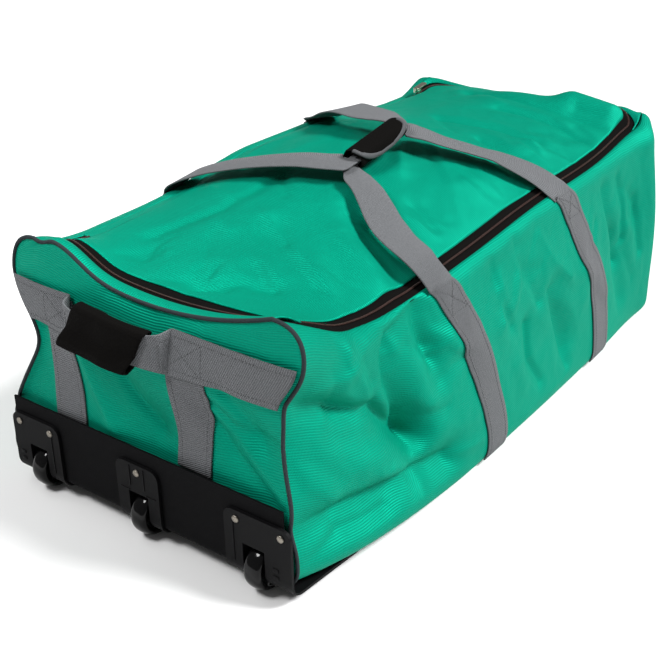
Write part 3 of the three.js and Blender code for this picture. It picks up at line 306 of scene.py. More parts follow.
SIDES = {
    "right": dict(sign=-1, sections=RIGHT, folds=RIGHT_FOLDS, creases=RIGHT_CREASES, free=RIGHT_FREE),
    "left": dict(sign=1, sections=LEFT, folds=LEFT_FOLDS, creases=LEFT_CREASES, free=LEFT_FREE),
}
LOW_SHARE = 0.2
HIGH_SHARE = 0.87
LOW_ROLL = 27
BULGE_LIFT = 1.4

wheel_low, wheel_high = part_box("wheel_middle")
ORIGIN = np.array((wheel_low + wheel_high) / 2) - MM * np.array((WHEEL_X, 0, WHEEL_RADIUS))


# Meshes: how near points are joined in metres, what counts as a sharp edge, the thinnest edge of a rounded
# strip and the narrow top of a thread as shares, the radius that stands for an axis, and the faces of a box
LATHE_WELD = 1e-6
NODE_WELD = 1e-5
SHARP_EDGE = math.radians(32)
LEAST_EDGE = 0.15
THREAD_TAPER = 0.7
NEAR_AXIS = 0.01
BOX_FACES = ((0, 1, 3, 2), (4, 6, 7, 5), (0, 4, 5, 1), (2, 3, 7, 6), (1, 5, 7, 3), (0, 2, 6, 4))


def placed(points):
    """Bag millimetres as the frame's metres."""
    return np.asarray(points, float) * MM + ORIGIN


def unit(vectors):
    return vectors / np.maximum(np.linalg.norm(vectors, axis=-1, keepdims=True), 1e-9)


def mix(a, b, t):
    return a + (b - a) * t


def bezier(a, b, c, t):
    return (1 - t) ** 2 * a + 2 * t * (1 - t) * b + t * t * c


def eased(t):
    """A share from 0 to 1 that starts and stops gently."""
    return t * t * (3 - 2 * t)


def arch(t, power):
    """A share that rises from 0 at one edge to 1 in the middle and falls to 0 at the other."""
    return np.sin(math.pi * np.clip(t, 0, 1)) ** power


def run_lengths(path):
    """Distance along a path at each of its points."""
    return np.concatenate([[0], np.cumsum(np.linalg.norm(np.diff(path, axis=0), axis=1))])


def column(table, name, at):
    """One column as a smooth curve through its rows, level where the rows turn back."""
    x, y = table["at"], table[name]
    slopes = np.empty_like(y)
    slopes[1:-1] = (y[2:] - y[:-2]) / (x[2:] - x[:-2])
    slopes[1:-1][np.diff(y)[1:] * np.diff(y)[:-1] <= 0] = 0
    slopes[0] = (y[1] - y[0]) / (x[1] - x[0])
    slopes[-1] = (y[-1] - y[-2]) / (x[-1] - x[-2])
    at = np.clip(at, x[0], x[-1])
    k = np.clip(np.searchsorted(x, at) - 1, 0, len(x) - 2)
    span = x[k + 1] - x[k]
    t = (at - x[k]) / span
    rise = (t**3 - 2 * t**2 + t) * slopes[k] + (t**3 - t**2) * slopes[k + 1]
    return (2 * t**3 - 3 * t**2 + 1) * y[k] + (3 * t**2 - 2 * t**3) * y[k + 1] + rise * span


def folded(folds, x, other, scale):
    """Height of all the folds near each place, fading out across their widths and at their ends."""
    total = 0
    for x1, other1, x2, other2, width, depth in zip(*folds.values()):
        run_x, run_o = x2 - x1, (other2 - other1) * scale
        away_x, away_o = x - x1, (other - other1) * scale
        along = np.clip((away_x * run_x + away_o * run_o) / (run_x**2 + run_o**2), 0, 1)
        squared = (away_x - along * run_x) ** 2 + (away_o - along * run_o) ** 2
        total = total + depth * np.exp(-squared / width**2)
    return total


def creased(creases, x, other, scale):
    """Height of the fine creases, each a bent line with one side raised over the other."""
    total = 0
    for width, depth, lean, line in creases:
        nearest, beside = np.inf, 0
        for (x1, other1), (x2, other2) in zip(line, line[1:]):
            run_x, run_o = x2 - x1, (other2 - other1) * scale
            away_x, away_o = x - x1, (other - other1) * scale
            length = np.hypot(run_x, run_o)
            along = np.clip((away_x * run_x + away_o * run_o) / length**2, 0, 1)
            squared = (away_x - along * run_x) ** 2 + (away_o - along * run_o) ** 2
            signed = (run_x * away_o - run_o * away_x) / length
            beside = np.where(squared < nearest, signed, beside)
            nearest = np.minimum(squared, nearest)
        crest = depth * np.exp((CREST - np.sqrt(nearest + CREST**2)) / width)
        total = total + crest + lean * beside / width * np.exp(-nearest / width**2)
    return total


TOP_START = float(column(WHEEL_END, "x", 1))
TOP_LENGTH = float(column(FAR_END, "x", 1)) - TOP_START
# Where creases start, from the ends in millimetres and as a share from the lid's long edges, and the least
# share of a crease at the ends of a side
CREASES_FROM = dict(end=24, over=60, edge=0.35, least=0.15)
# How folds, the wheel end's creases and the ends' swell fade towards their seams, as powers of an arch
SEAM_FADE, END_FADE, SWELL_FADE = 0.5, 0.4, 0.7


def side_point(side, along, up):
    """Points of a long side: share of the length, and share of the outline up from the floor."""
    part = SIDES[side]
    along, up = np.broadcast_arrays(np.asarray(along, float), np.asarray(up, float))
    low, bulge, high, corner, seam, seam_z = (
        column(part["sections"], name, along) for name in ("low", "bulge", "high", "round", "seam", "seam_z")
    )
    base_z, foot = column(BASE, "base_z", along), column(BASE, "foot", along)
    tall = seam_z - base_z
    roll_z, corner_z = base_z + LOW_ROLL, seam_z - corner

    def wall(z):
        return mix(low, high, (z - base_z) / tall)

    t_low = np.clip(up / LOW_SHARE, 0, 1)
    t_wall = np.clip((up - LOW_SHARE) / (HIGH_SHARE - LOW_SHARE), 0, 1)
    t_high = np.clip((up - HIGH_SHARE) / (1 - HIGH_SHARE), 0, 1)
    wall_z = mix(roll_z, corner_z, t_wall)
    zones = [up < LOW_SHARE, up < HIGH_SHARE]
    y = np.select(
        zones,
        [bezier(foot, low, wall(roll_z), t_low), wall(wall_z) + bulge * arch(t_wall**BULGE_LIFT, 2)],
        bezier(wall(corner_z), high, seam, t_high),
    )
    z = np.select(
        zones,
        [bezier(base_z, base_z, roll_z, t_low), wall_z],
        bezier(corner_z, seam_z, seam_z, t_high),
    )
    share = np.clip((z - base_z) / tall, 0, 1)
    x = mix(column(WHEEL_END, "x", share), column(FAR_END, "x", share), along)
    from_end = np.minimum(along, 1 - along) * TOP_LENGTH / CREASES_FROM["over"]
    moved = folded(part["folds"], x, share, tall)
    moved = moved + np.clip(from_end, CREASES_FROM["least"], 1) * creased(part["creases"], x, share, tall)
    y = y + arch(share, SEAM_FADE) * moved
    return np.stack([x, part["sign"] * y, z], -1)


def top_point(x, y):
    """Points of the bag's top: x from the wheel end's piping, y on the nominal half width."""
    x, y = np.broadcast_arrays(np.asarray(x, float), np.asarray(y, float))
    along, across = x / TOP_LENGTH, y / TOP_HALF_WIDTH
    share, dome = (across + 1) / 2, 1 - across**2
    z = mix(column(RIGHT, "seam_z", along), column(LEFT, "seam_z", along), share)
    z = z + column(BASE, "crown", along) * dome
    from_edge = 1 - np.abs(across)
    fade = eased(np.clip(from_edge / FOLD_MARGIN, 0, 1))
    place = (TOP_START + x, across, TOP_HALF_WIDTH)
    from_end = (np.minimum(x, TOP_LENGTH - x) - CREASES_FROM["end"]) / CREASES_FROM["over"]
    shown = eased(np.clip(np.minimum(from_end, from_edge / CREASES_FROM["edge"]), 0, 1))
    z = z + fade * folded(LID_FOLDS, *place) + shown * creased(LID_CREASES, *place)
    y = mix(-column(RIGHT, "seam", along), column(LEFT, "seam", along), share)
    return np.stack([TOP_START + x, y, z], -1)


def base_point(along, across):
    """Points of the base: share of the length, and share of the half width across it."""
    along, across = np.broadcast_arrays(np.asarray(along, float), np.asarray(across, float))
    x = mix(WHEEL_END["x"][0], FAR_END["x"][0], along)
    return np.stack([x, across * column(BASE, "foot", along), column(BASE, "base_z", along)], -1)


# The zip's plan: straight runs and quarter turns from the middle of the left side over the wheel end
PLAN_X = (TOP_LENGTH - sum(ZIP_END_INSET.values())) / 2 - ZIP_CORNER
PLAN_MIDDLE = (TOP_LENGTH + ZIP_END_INSET["wheel"] - ZIP_END_INSET["far"]) / 2
PLAN_Y = TOP_HALF_WIDTH - ZIP_CORNER
ARC = QUARTER * ZIP_CORNER
RUNS = rows(
    "length x y quarters straight go_x go_y",
    (PLAN_X, 0, PLAN_Y, 1, 1, -1, 0),
    (ARC, -PLAN_X, PLAN_Y, 1, 0, 0, 0),
    (2 * PLAN_Y, -PLAN_X, PLAN_Y, 2, 1, 0, -1),
    (ARC, -PLAN_X, -PLAN_Y, 2, 0, 0, 0),
    (2 * PLAN_X, -PLAN_X, -PLAN_Y, 3, 1, 1, 0),
    (ARC, PLAN_X, -PLAN_Y, 3, 0, 0, 0),
    (2 * PLAN_Y, PLAN_X, -PLAN_Y, 4, 1, 0, 1),
    (ARC, PLAN_X, PLAN_Y, 4, 0, 0, 0),
    (PLAN_X, PLAN_X, PLAN_Y, 5, 1, -1, 0),
)
RUN_STARTS = np.concatenate([[0], np.cumsum(RUNS["length"])])
PLAN_LENGTH = RUN_STARTS[-1]
ZIP_START = PLAN_X - ZIP_TAIL
# Where the near side hangs away from the zip, and how far the lid's wheel edge is drawn in at its middle
GAPE = dict(x=92, spread=44, wide=12)
GAPE_AT = RUN_STARTS[4] + 8
LENS = 7


def plan_point(distance, inset):
    """Places on the zip's plan, walked once round, with the same places at every inset."""
    distance = np.asarray(distance, float) % PLAN_LENGTH
    distance, inset = np.broadcast_arrays(distance, np.asarray(inset, float))
    k = np.clip(np.searchsorted(RUN_STARTS, distance, side="right") - 1, 0, len(RUN_STARTS) - 2)
    rest = distance - RUN_STARTS[k]
    straight = RUNS["straight"][k]
    facing = RUNS["quarters"][k] * QUARTER + (1 - straight) * rest / ZIP_CORNER
    reach = ZIP_CORNER - inset
    x = PLAN_MIDDLE + RUNS["x"][k] + straight * rest * RUNS["go_x"][k] + reach * np.cos(facing)
    return x, RUNS["y"][k] + straight * rest * RUNS["go_y"][k] + reach * np.sin(facing)


def top_strip(start, stop, count, insets, rises):
    """A strip of the top along the zip's plan, through lanes that each have an inset and a rise."""
    distance = np.linspace(start, stop, count)[:, None]
    x, y = plan_point(distance, np.asarray(insets, float)[None, :])
    grid = top_point(x, y)
    return grid + grid_normals(grid, UP) * np.asarray(rises, float)[None, :, None]


def end_grid(end, across, ups, room):
    """An end panel stretched between its base, both sides and the top."""
    along, outward = (0, -1) if end == "wheel" else (1, 1)
    swell = WHEEL_END_SWELL if end == "wheel" else FAR_END_SWELL
    a, b = np.asarray(across)[:, None], np.asarray(ups)[None, :]
    a3, b3 = a[..., None], b[..., None]
    bottom = base_point(along, 2 * a - 1)
    top = top_point(along * TOP_LENGTH, (2 * a - 1) * TOP_HALF_WIDTH)
    right, left = side_point("right", along, b), side_point("left", along, b)
    grid = bottom * (1 - b3) + top * b3 + right * (1 - a3) + left * a3
    for side, weight in (("right", 1 - a3), ("left", a3)):
        grid = grid - weight * (1 - b3) * side_point(side, along, 0)
        grid = grid - weight * b3 * side_point(side, along, 1)
    grid[..., 0] += outward * arch(a, SWELL_FADE) * column(swell, "out", b)
    if end == "wheel":
        inside = arch(a, END_FADE) * arch(b, END_FADE)
        grid[..., 0] -= inside * creased(END_CREASES, grid[..., 1], grid[..., 2], 1)
    grid[..., 1] -= room * (2 * a - 1)
    grid[..., 2] -= room * (2 * b - 1)
    return grid


def grid_normals(grid, outward):
    """Normals of a grid of points, all on the side that mostly faces outward."""
    normals = unit(np.cross(np.gradient(grid, axis=0), np.gradient(grid, axis=1)))
    return normals if np.sum(normals * outward) > 0 else -normals


def curve_through(points, count):
    """A centripetal spline through points, sampled evenly over its segments."""
    points = np.asarray(points, float)
    ends = np.vstack([2 * points[0] - points[1], points, 2 * points[-1] - points[-2]])
    knots = np.sqrt(np.linalg.norm(np.diff(ends, axis=0), axis=1))
    t = np.linspace(0, len(points) - 1, count)
    k = np.minimum(t.astype(int), len(points) - 2)
    t = (t - k)[:, None]
    p0, p1, p2, p3 = (ends[k + n] for n in range(4))
    d0, d1, d2 = (knots[k + n][:, None] for n in range(3))
    m1 = ((p1 - p0) / d0 - (p2 - p0) / (d0 + d1) + (p2 - p1) / d1) * d1
    m2 = ((p2 - p1) / d1 - (p3 - p1) / (d1 + d2) + (p3 - p2) / d2) * d1
    hermite = (2 * t**3 - 3 * t**2 + 1) * p1 + (3 * t**2 - 2 * t**3) * p2
    return hermite + (t**3 - 2 * t**2 + t) * m1 + (t**3 - t**2) * m2


def quads(count_rows, count_columns, closed=False):
    """Faces of a grid of points, its last column joined to its first when closed."""
    i, j = np.meshgrid(np.arange(count_rows - 1), np.arange(count_columns - (not closed)), indexing="ij")
    k = (j + 1) % count_columns
    start, stop = i * count_columns, (i + 1) * count_columns
    return np.stack([start + j, stop + j, stop + k, start + k], -1).reshape(-1, 4)


def capped(count, sides):
    """Faces of a tube of rings, closed at both ends."""
    faces = [list(face) for face in quads(count, sides, closed=True)]
    return faces + [list(range(sides)), list(range((count - 1) * sides, count * sides))]


def cloth_uv(grid):
    """Distances along both ways of a grid, in metres."""
    steps_u = np.linalg.norm(np.diff(grid, axis=0), axis=-1)
    steps_v = np.linalg.norm(np.diff(grid, axis=1), axis=-1)
    u = np.concatenate([np.zeros((1, grid.shape[1])), np.cumsum(steps_u, axis=0)])
    v = np.concatenate([np.zeros((grid.shape[0], 1)), np.cumsum(steps_v, axis=1)], axis=1)
    return np.stack([u - u.mean(0), v - v.mean(1, keepdims=True)], -1) * MM


def linked(name, data):
    """A mesh, a light or a camera placed in the scene."""
    item = bpy.data.objects.new(name, data)
    bpy.context.scene.collection.objects.link(item)
    return item


def mesh_piece(name, points, faces, uv=None):
    """A smooth-shaded piece from bag millimetres."""
    mesh = bpy.data.meshes.new(name)
    mesh.from_pydata(placed(points).tolist(), [], [list(map(int, face)) for face in faces])
    if uv is not None:
        corners = np.empty(len(mesh.loops), int)
        mesh.loops.foreach_get("vertex_index", corners)
        layer = mesh.uv_layers.new(name="cloth")
        layer.data.foreach_set("uv", np.asarray(uv, np.float32)[corners].ravel())
    mesh.shade_smooth()
    return linked(name, mesh)


def face_out(piece, weld=0):
    """Turns the faces of a closed piece outwards, with points nearer than weld joined first."""
    work = bmesh.new()
    work.from_mesh(piece.data)
    if weld:
        bmesh.ops.remove_doubles(work, verts=work.verts, dist=weld)
    bmesh.ops.recalc_face_normals(work, faces=work.faces)
    work.to_mesh(piece.data)
    work.free()
    return piece


def bake(piece):
    """Applies a piece's modifiers."""
    bpy.context.view_layer.update()
    graph = bpy.context.evaluated_depsgraph_get()
    mesh = bpy.data.meshes.new_from_object(piece.evaluated_get(graph))
    piece.modifiers.clear()
    piece.data = mesh
    return piece


def dress(piece, material, stands_for=(), body="root"):
    """Gives a piece its material and its body, and hides the CAD nodes it stands for."""
    piece.data.materials.clear()
    piece.data.materials.append(material)
    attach(piece, body)
    if stands_for:
        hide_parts(*stands_for)
    return piece


def finish_node(name, material, width):
    """Rounds the edges of a CAD node and gives it a material."""
    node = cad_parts[name]
    weld = node.modifiers.new("weld", "WELD")
    weld.merge_threshold = NODE_WELD
    bevel = node.modifiers.new("round", "BEVEL")
    bevel.width = width * MM
    bevel.segments = 3
    bevel.limit_method = "ANGLE"
    bevel.angle_limit = SHARP_EDGE
    bevel.harden_normals = False
    node.data.materials.clear()
    node.data.materials.append(material)
    return node


def box_middle(name):
    """The middle of a CAD node's box, in bag millimetres."""
    low, high = (np.array(corner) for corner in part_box(name))
    return ((low + high) / 2 - ORIGIN) / MM


def thick_sheet(name, middle, normals, half, closed=False):
    """A closed piece round a grid of middle points, half as thick on each side."""
    count_rows, count_columns = middle.shape[:2]
    half = np.broadcast_to(np.asarray(half, float), middle.shape[:2])[..., None]
    points = np.concatenate([middle + half * normals, middle - half * normals]).reshape(-1, 3)
    total = count_rows * count_columns
    face = quads(count_rows, count_columns, closed)
    faces = [face, face[:, ::-1] + total]
    index = np.arange(total).reshape(count_rows, count_columns)
    rims = [index[0], index[-1]]
    if closed:
        rims = [np.append(rim, rim[0]) for rim in rims]
    else:
        rims += [index[:, 0], index[:, -1]]
    faces += [np.stack([rim[:-1], rim[1:], rim[1:] + total, rim[:-1] + total], -1) for rim in rims]
    uv = np.tile(cloth_uv(middle).reshape(-1, 2), (2, 1))
    return face_out(mesh_piece(name, points, np.concatenate(faces), uv))


def rounded(count_lanes, width, edge):
    """Lane places across a strip and how full each is, rounded off at both edges."""
    bend = np.sin(np.linspace(0, QUARTER, 4))
    reach = 0.5 - edge / width
    flat = np.linspace(-reach, reach, count_lanes)
    lanes = np.concatenate([-reach - edge / width * bend[:0:-1], flat, reach + edge / width * bend[1:]])
    past = np.clip((np.abs(lanes) - reach) / (edge / width), 0, 1)
    return lanes, np.maximum(np.sqrt(1 - past**2), LEAST_EDGE)


def tube(name, path, radius, sides=10, flat=1.0):
    """A round cord along a path, or one pressed flat by a share."""
    tangent = unit(np.gradient(path, axis=0))
    side = unit(np.cross(tangent[0], UP if abs(tangent[0][2]) < 0.9 else np.array((1.0, 0, 0))))
    angle = np.linspace(0, 2 * math.pi, sides, endpoint=False)[:, None]
    rings = []
    for point, forward in zip(path, tangent):
        side = unit(side - forward * np.dot(side, forward))
        other = np.cross(forward, side)
        rings.append(point + radius * (np.cos(angle) * side + flat * np.sin(angle) * other))
    around = np.linspace(0, 2 * math.pi * radius, sides)
    uv = np.stack(np.meshgrid(run_lengths(path), around, indexing="ij"), -1) * MM
    faces = capped(len(path), sides)
    return face_out(mesh_piece(name, np.array(rings).reshape(-1, 3), faces, uv.reshape(-1, 2)))


def lathe(name, profile, centre, axis, sides=48):
    """Turns a closed profile of (radius, height) about an axis through centre."""
    profile = np.asarray(profile, float)
    axis = np.asarray(axis, float)
    side = np.cross(axis, UP) if abs(axis[2]) < 0.9 else np.array((1.0, 0, 0))
    other = np.cross(axis, side)
    angle = np.linspace(0, 2 * math.pi, sides, endpoint=False)[:, None, None]
    spin = np.cos(angle) * side + np.sin(angle) * other
    rings = centre + profile[None, :, :1] * spin + profile[None, :, 1:] * axis
    count = len(profile)
    i, j = np.meshgrid(np.arange(sides), np.arange(count), indexing="ij")
    i2, j2 = (i + 1) % sides, (j + 1) % count
    faces = np.stack([i * count + j, i2 * count + j, i2 * count + j2, i * count + j2], -1).reshape(-1, 4)
    return face_out(mesh_piece(name, rings.reshape(-1, 3), faces), weld=LATHE_WELD)


def stitches(name, lines, length=3.4, gap=1.2, width=0.45):
    """Short threads along lines of points, each with its outward normals."""
    corners, faces = [], []
    box = np.array([(a, b, c) for a in (-1, 1) for b in (-1, 1) for c in (0, 1)], float)
    taper = np.where(box[:, 2:] > 0, THREAD_TAPER, 1.0)
    size = np.array((length / 2, width / 2, width))
    local = box * size * np.hstack([taper, np.ones((8, 2))])
    for path, normals in lines:
        run = run_lengths(path)
        for at in np.arange(length, run[-1] - length / 2, length + gap):
            spots = [[np.interp(at + k * length / 2, run, path[:, n]) for n in range(3)] for k in (-1, 0, 1)]
            start, middle, stop = np.array(spots)
            out = unit(np.array([np.interp(at, run, normals[:, n]) for n in range(3)]))
            forward = unit(stop - start)
            first = len(corners) * len(box)
            corners.append(middle + local @ np.stack([forward, np.cross(out, forward), out]))
            faces += [[first + n for n in face] for face in BOX_FACES]
    return face_out(mesh_piece(name, np.concatenate(corners), faces))


# Materials

def principled(name, colour, roughness, **sockets):
    """A material with its main values set, and its tree."""
    material = bpy.data.materials.new(name)
    material.use_nodes = True
    shader = material.node_tree.nodes["Principled BSDF"]
    shader.inputs["Base Color"].default_value = (*colour, 1)
    shader.inputs["Roughness"].default_value = roughness
    for socket, value in sockets.items():
        shader.inputs[socket.replace("_", " ")].default_value = value
    material.diffuse_color = (*colour, 1)
    return material


def calculate(tree, operation, first, second=0.0):
    """One maths node, with numbers or sockets as its inputs."""
    node = tree.nodes.new("ShaderNodeMath")
    node.operation = operation
    for socket, value in zip(node.inputs, (first, second)):
        if isinstance(value, (int, float)):
            socket.default_value = value
        else:
            tree.links.new(value, socket)
    return node.outputs[0]


def weighted(tree, first, share, second, second_share):
    """Two heights or colours added, each times its share."""
    first = calculate(tree, "MULTIPLY", first, share)
    return calculate(tree, "ADD", first, calculate(tree, "MULTIPLY", second, second_share))


def cloth_axes(tree):
    """Places along and across a piece of cloth, in metres."""
    node = tree.nodes.new("ShaderNodeUVMap")
    node.uv_map = "cloth"
    split = tree.nodes.new("ShaderNodeSeparateXYZ")
    tree.links.new(node.outputs["UV"], split.inputs[0])
    return split.outputs["X"], split.outputs["Y"]


def waves(tree, place, pitch):
    """Waves from 0 to 1 along a coordinate in metres."""
    angle = calculate(tree, "MULTIPLY", place, 2 * math.pi / pitch)
    half = calculate(tree, "MULTIPLY", calculate(tree, "SINE", angle), 0.5)
    return calculate(tree, "ADD", half, 0.5)


def noise(tree, scale, detail=2.0):
    """Noise from 0 to 1 in the object's own metres."""
    place = tree.nodes.new("ShaderNodeTexCoord")
    node = tree.nodes.new("ShaderNodeTexNoise")
    node.inputs["Scale"].default_value = scale
    node.inputs["Detail"].default_value = detail
    tree.links.new(place.outputs["Object"], node.inputs["Vector"])
    return node.outputs["Fac"]


def relief(material, height, distance):
    """Adds a height from 0 to 1, times distance in metres, as a bump."""
    tree = material.node_tree
    node = tree.nodes.new("ShaderNodeBump")
    node.inputs["Distance"].default_value = distance
    node.inputs["Strength"].default_value = 1.0
    tree.links.new(height, node.inputs["Height"])
    tree.links.new(node.outputs["Normal"], tree.nodes["Principled BSDF"].inputs["Normal"])


def tint(material, factor, dark):
    """Mixes the base colour from a darker share of it up to itself by a factor."""
    tree = material.node_tree
    shader = tree.nodes["Principled BSDF"]
    colour = shader.inputs["Base Color"].default_value[:3]
    node = tree.nodes.new("ShaderNodeMix")
    node.data_type = "RGBA"
    node.inputs["A"].default_value = (*(dark * c for c in colour), 1)
    node.inputs["B"].default_value = (*colour, 1)
    tree.links.new(factor, node.inputs["Factor"])
    tree.links.new(node.outputs["Result"], shader.inputs["Base Color"])


def grained(name, colour, roughness, scale, detail, depth, **sockets):
    """A material with a fine, even grain, its depth in metres."""
    material = principled(name, colour, roughness, **sockets)
    relief(material, noise(material.node_tree, scale, detail), depth)
    return material


def ribbed_cloth(settings):
    material = principled(
        "ribbed_cloth", settings.cloth_colour, roughness=0.52, Specular_IOR_Level=0.1, Metallic=0.42,
        Specular_Tint=(0.08, 1.0, 0.78, 1),
    )
    tree = material.node_tree
    along, across = cloth_axes(tree)
    ribs = waves(tree, across, settings.rib_pitch)
    threads = waves(tree, along, 0.6 * settings.rib_pitch)
    relief(material, weighted(tree, ribs, 1, threads, 0.35), distance=0.00032)
    # Painted shade: the colour darkens in the rib valleys, where the bump sinks, and also varies at random
    # with the noise
    tint(material, weighted(tree, ribs, 0.5, noise(tree, scale=9), 0.5), dark=0.66)
    return material


def twill_webbing(settings):
    material = principled(
        "twill_webbing", settings.webbing_colour, roughness=0.75, Sheen_Weight=0.04, Specular_IOR_Level=0.2,
    )
    tree = material.node_tree
    along, across = cloth_axes(tree)
    twill = waves(tree, weighted(tree, along, 1, across, 0.6), pitch=0.0026)
    warp = waves(tree, across, pitch=0.0019)
    relief(material, weighted(tree, twill, 1, warp, 0.6), distance=0.0005)
    grain = noise(tree, scale=420, detail=1)
    tint(material, weighted(tree, twill, 0.45, grain, 0.6), dark=0.5)
    return material


def binding_tape(settings):
    colour = [0.5 * c for c in settings.webbing_colour]
    material = principled("binding_tape", colour, roughness=0.8, Specular_IOR_Level=0.2)
    along, _ = cloth_axes(material.node_tree)
    relief(material, waves(material.node_tree, along, pitch=0.0018), distance=0.0003)
    return material


def sewing_thread(settings):
    return principled("sewing_thread", [0.6 * c for c in settings.webbing_colour], roughness=0.7)


def brushed_pad(settings):
    return grained(
        "brushed_pad", settings.black_colour, roughness=0.9, scale=900, detail=3, depth=0.0005,
        Specular_IOR_Level=0.04,
    )


def woven_tape(settings):
    material = principled("woven_tape", settings.black_colour, roughness=0.9, Specular_IOR_Level=0.05)
    tree = material.node_tree
    warp, weft = (waves(tree, axis, pitch=0.0012) for axis in cloth_axes(tree))
    relief(material, calculate(tree, "MULTIPLY", warp, weft), distance=0.0002)
    return material


def nylon_coil(settings):
    material = principled("nylon_coil", settings.coil_colour, roughness=0.45, Specular_IOR_Level=0.2)
    along, _ = cloth_axes(material.node_tree)
    teeth = waves(material.node_tree, along, pitch=0.0022)
    relief(material, teeth, distance=0.0008)
    tint(material, teeth, dark=0.35)
    return material


def cord_cover(settings):
    material = principled("cord_cover", settings.piping_colour, roughness=0.75, Specular_IOR_Level=0.2)
    tree = material.node_tree
    slant = calculate(tree, "ADD", *cloth_axes(tree))
    relief(material, waves(tree, slant, pitch=0.0016), distance=0.0002)
    return material


def grained_sheet(settings):
    return grained(
        "grained_sheet", settings.plastic_colour, roughness=0.8, scale=700, detail=3, depth=0.00025,
        Specular_IOR_Level=0.06,
    )


def moulded_plastic(settings):
    return grained(
        "moulded_plastic", settings.plastic_colour, roughness=0.55, scale=260, detail=2, depth=0.00006,
        Specular_IOR_Level=0.07,
    )


def glossy_rubber(settings):
    return principled("glossy_rubber", settings.rubber_colour, roughness=0.1, Specular_IOR_Level=0.16)


def plated_steel(settings):
    return grained(
        "plated_steel", settings.steel_colour, roughness=0.42, scale=180, detail=2, depth=0.0002, Metallic=1,
    )


def aged_metal(settings):
    return grained(
        "aged_metal", settings.zip_colour, roughness=0.32, scale=220, detail=2, depth=0.0002, Metallic=1,
    )


def finish(maker):
    """A material, made once."""
    name = maker.__name__
    return bpy.data.materials.get(name) or maker(bpy.context.scene.holdall)


# Cloth

# How the cloth moves while it settles, for how many frames, and how much of its sideways slip it keeps
CLOTH_RULES = dict(
    quality=5, mass=0.2, tension_stiffness=20, compression_stiffness=20, shear_stiffness=8,
    bending_stiffness=0.06, tension_damping=12, compression_damping=12, shear_damping=10, bending_damping=1,
    air_damping=4, vertex_group_mass="held", pin_stiffness=0.6,
)
SETTLE_FRAMES = 46
SLIP = 0.5


def settle(name, grid, held, slack):
    """Lets a panel buckle: it is cut a little larger than the outline that holds it, then relaxes."""
    points = grid.reshape(-1, 3)
    piece = mesh_piece(name + "_cut", points, quads(*grid.shape[:2]))
    piece.shape_key_add(name="Basis")
    cut = piece.shape_key_add(name="cut")
    middle = placed(points).mean(0)
    cut.data.foreach_set("co", ((placed(points) - middle) * slack + middle).astype(np.float32).ravel())
    group = piece.vertex_groups.new(name="held")
    for k, weight in enumerate(held.ravel()):
        if weight > 0:
            group.add([k], float(weight), "REPLACE")
    cloth = piece.modifiers.new("cloth", "CLOTH")
    for rule, value in CLOTH_RULES.items():
        setattr(cloth.settings, rule, value)
    cloth.settings.rest_shape_key = cut
    cloth.settings.effector_weights.gravity = 0
    cloth.point_cache.frame_end = SETTLE_FRAMES
    scene = bpy.context.scene
    for step in range(1, SETTLE_FRAMES + 1):
        scene.frame_set(step)
    graph = bpy.context.evaluated_depsgraph_get()
    shape = piece.evaluated_get(graph).data
    out = np.empty(len(points) * 3)
    shape.vertices.foreach_get("co", out)
    scene.frame_set(1)
    mesh = piece.data
    bpy.data.objects.remove(piece)
    bpy.data.meshes.remove(mesh)
    return ((out.reshape(-1, 3) - ORIGIN) / MM).reshape(grid.shape)


def between_points(values):
    """Values on every other point of a grid, filled in smoothly between."""
    for axis in (0, 1):
        values = np.moveaxis(values, axis, 0)
        full = np.empty((2 * len(values) - 1, *values.shape[1:]))
        full[::2] = values
        full[1::2] = (values[1:] + values[:-1]) / 2
        full[1:-1] = (full[:-2] + 2 * full[1:-1] + full[2:]) / 4
        values = np.moveaxis(full, 0, axis)
    return values


def relaxed(name, grid, outward, held, slack, reach):
    """A panel after it has settled, moved along its normals and kept near its pattern."""
    coarse = grid[::2, ::2]
    moved = between_points(settle(name, coarse, held[::2, ::2], np.asarray(slack, float)) - coarse)
    normals = grid_normals(grid, outward)
    out = np.sum(moved * normals, -1, keepdims=True)
    slide = moved - out * normals
    return grid + reach * np.tanh(out / reach) * normals + SLIP * slide


def cloth_panel(name, grid, outward, stands_for, turned=False, keeps=None):
    """A sheet of the ribbed cloth, given its thickness and sewn to the body. keeps picks its faces."""
    normals = grid_normals(grid, outward)
    uv = cloth_uv(grid)
    uv = (uv[..., ::-1] if turned else uv).reshape(-1, 2)
    faces = quads(*grid.shape[:2])
    points = grid.reshape(-1, 3)
    first = points[faces[len(faces) // 2]]
    facing = np.cross(first[1] - first[0], first[3] - first[0])
    middle = normals.reshape(-1, 3)[faces[len(faces) // 2][0]]
    faces = faces if np.dot(facing, middle) > 0 else faces[:, ::-1]
    if keeps is not None:
        used, faces = np.unique(faces[keeps(points[faces].mean(1))], return_inverse=True)
        faces = faces.reshape(-1, 4)
        points = points[used]
        uv = uv[used]
    piece = mesh_piece(name, points, faces, uv)
    wall = piece.modifiers.new("wall", "SOLIDIFY")
    wall.thickness = FABRIC * MM
    wall.offset = -1
    bake(piece)
    dress(piece, finish(ribbed_cloth), stands_for)
    return piece


def rim_held(shape):
    """Weights that hold a panel along its whole rim."""
    held = np.zeros(shape)
    held[[0, -1]] = 1
    held[:, [0, -1]] = 1
    return held


# How much larger panels are cut than their outlines, along each axis, and how far they may buckle
SIDE_BUCKLE = dict(slack=(1.02, 1.0, 1.016), reach=8)
LID_BUCKLE = dict(slack=(1.018, 1.018, 1.0), reach=8)
END_BUCKLE = dict(slack=(1.0, 1.02, 1.016), reach=6)
# How far beside the webbing sewn to them panels are held still
HELD_BESIDE = dict(side=3, end=2)
SIDE_FOOT_HELD = 0.1
SIDE_LEAN = 0.2
LID_OVER_ZIP = 4.5
LID_RISE = 1.5
HINGE_RISE = 0.6
BORDER_RISE = 1.2
BORDER_OVERLAP = 0.5
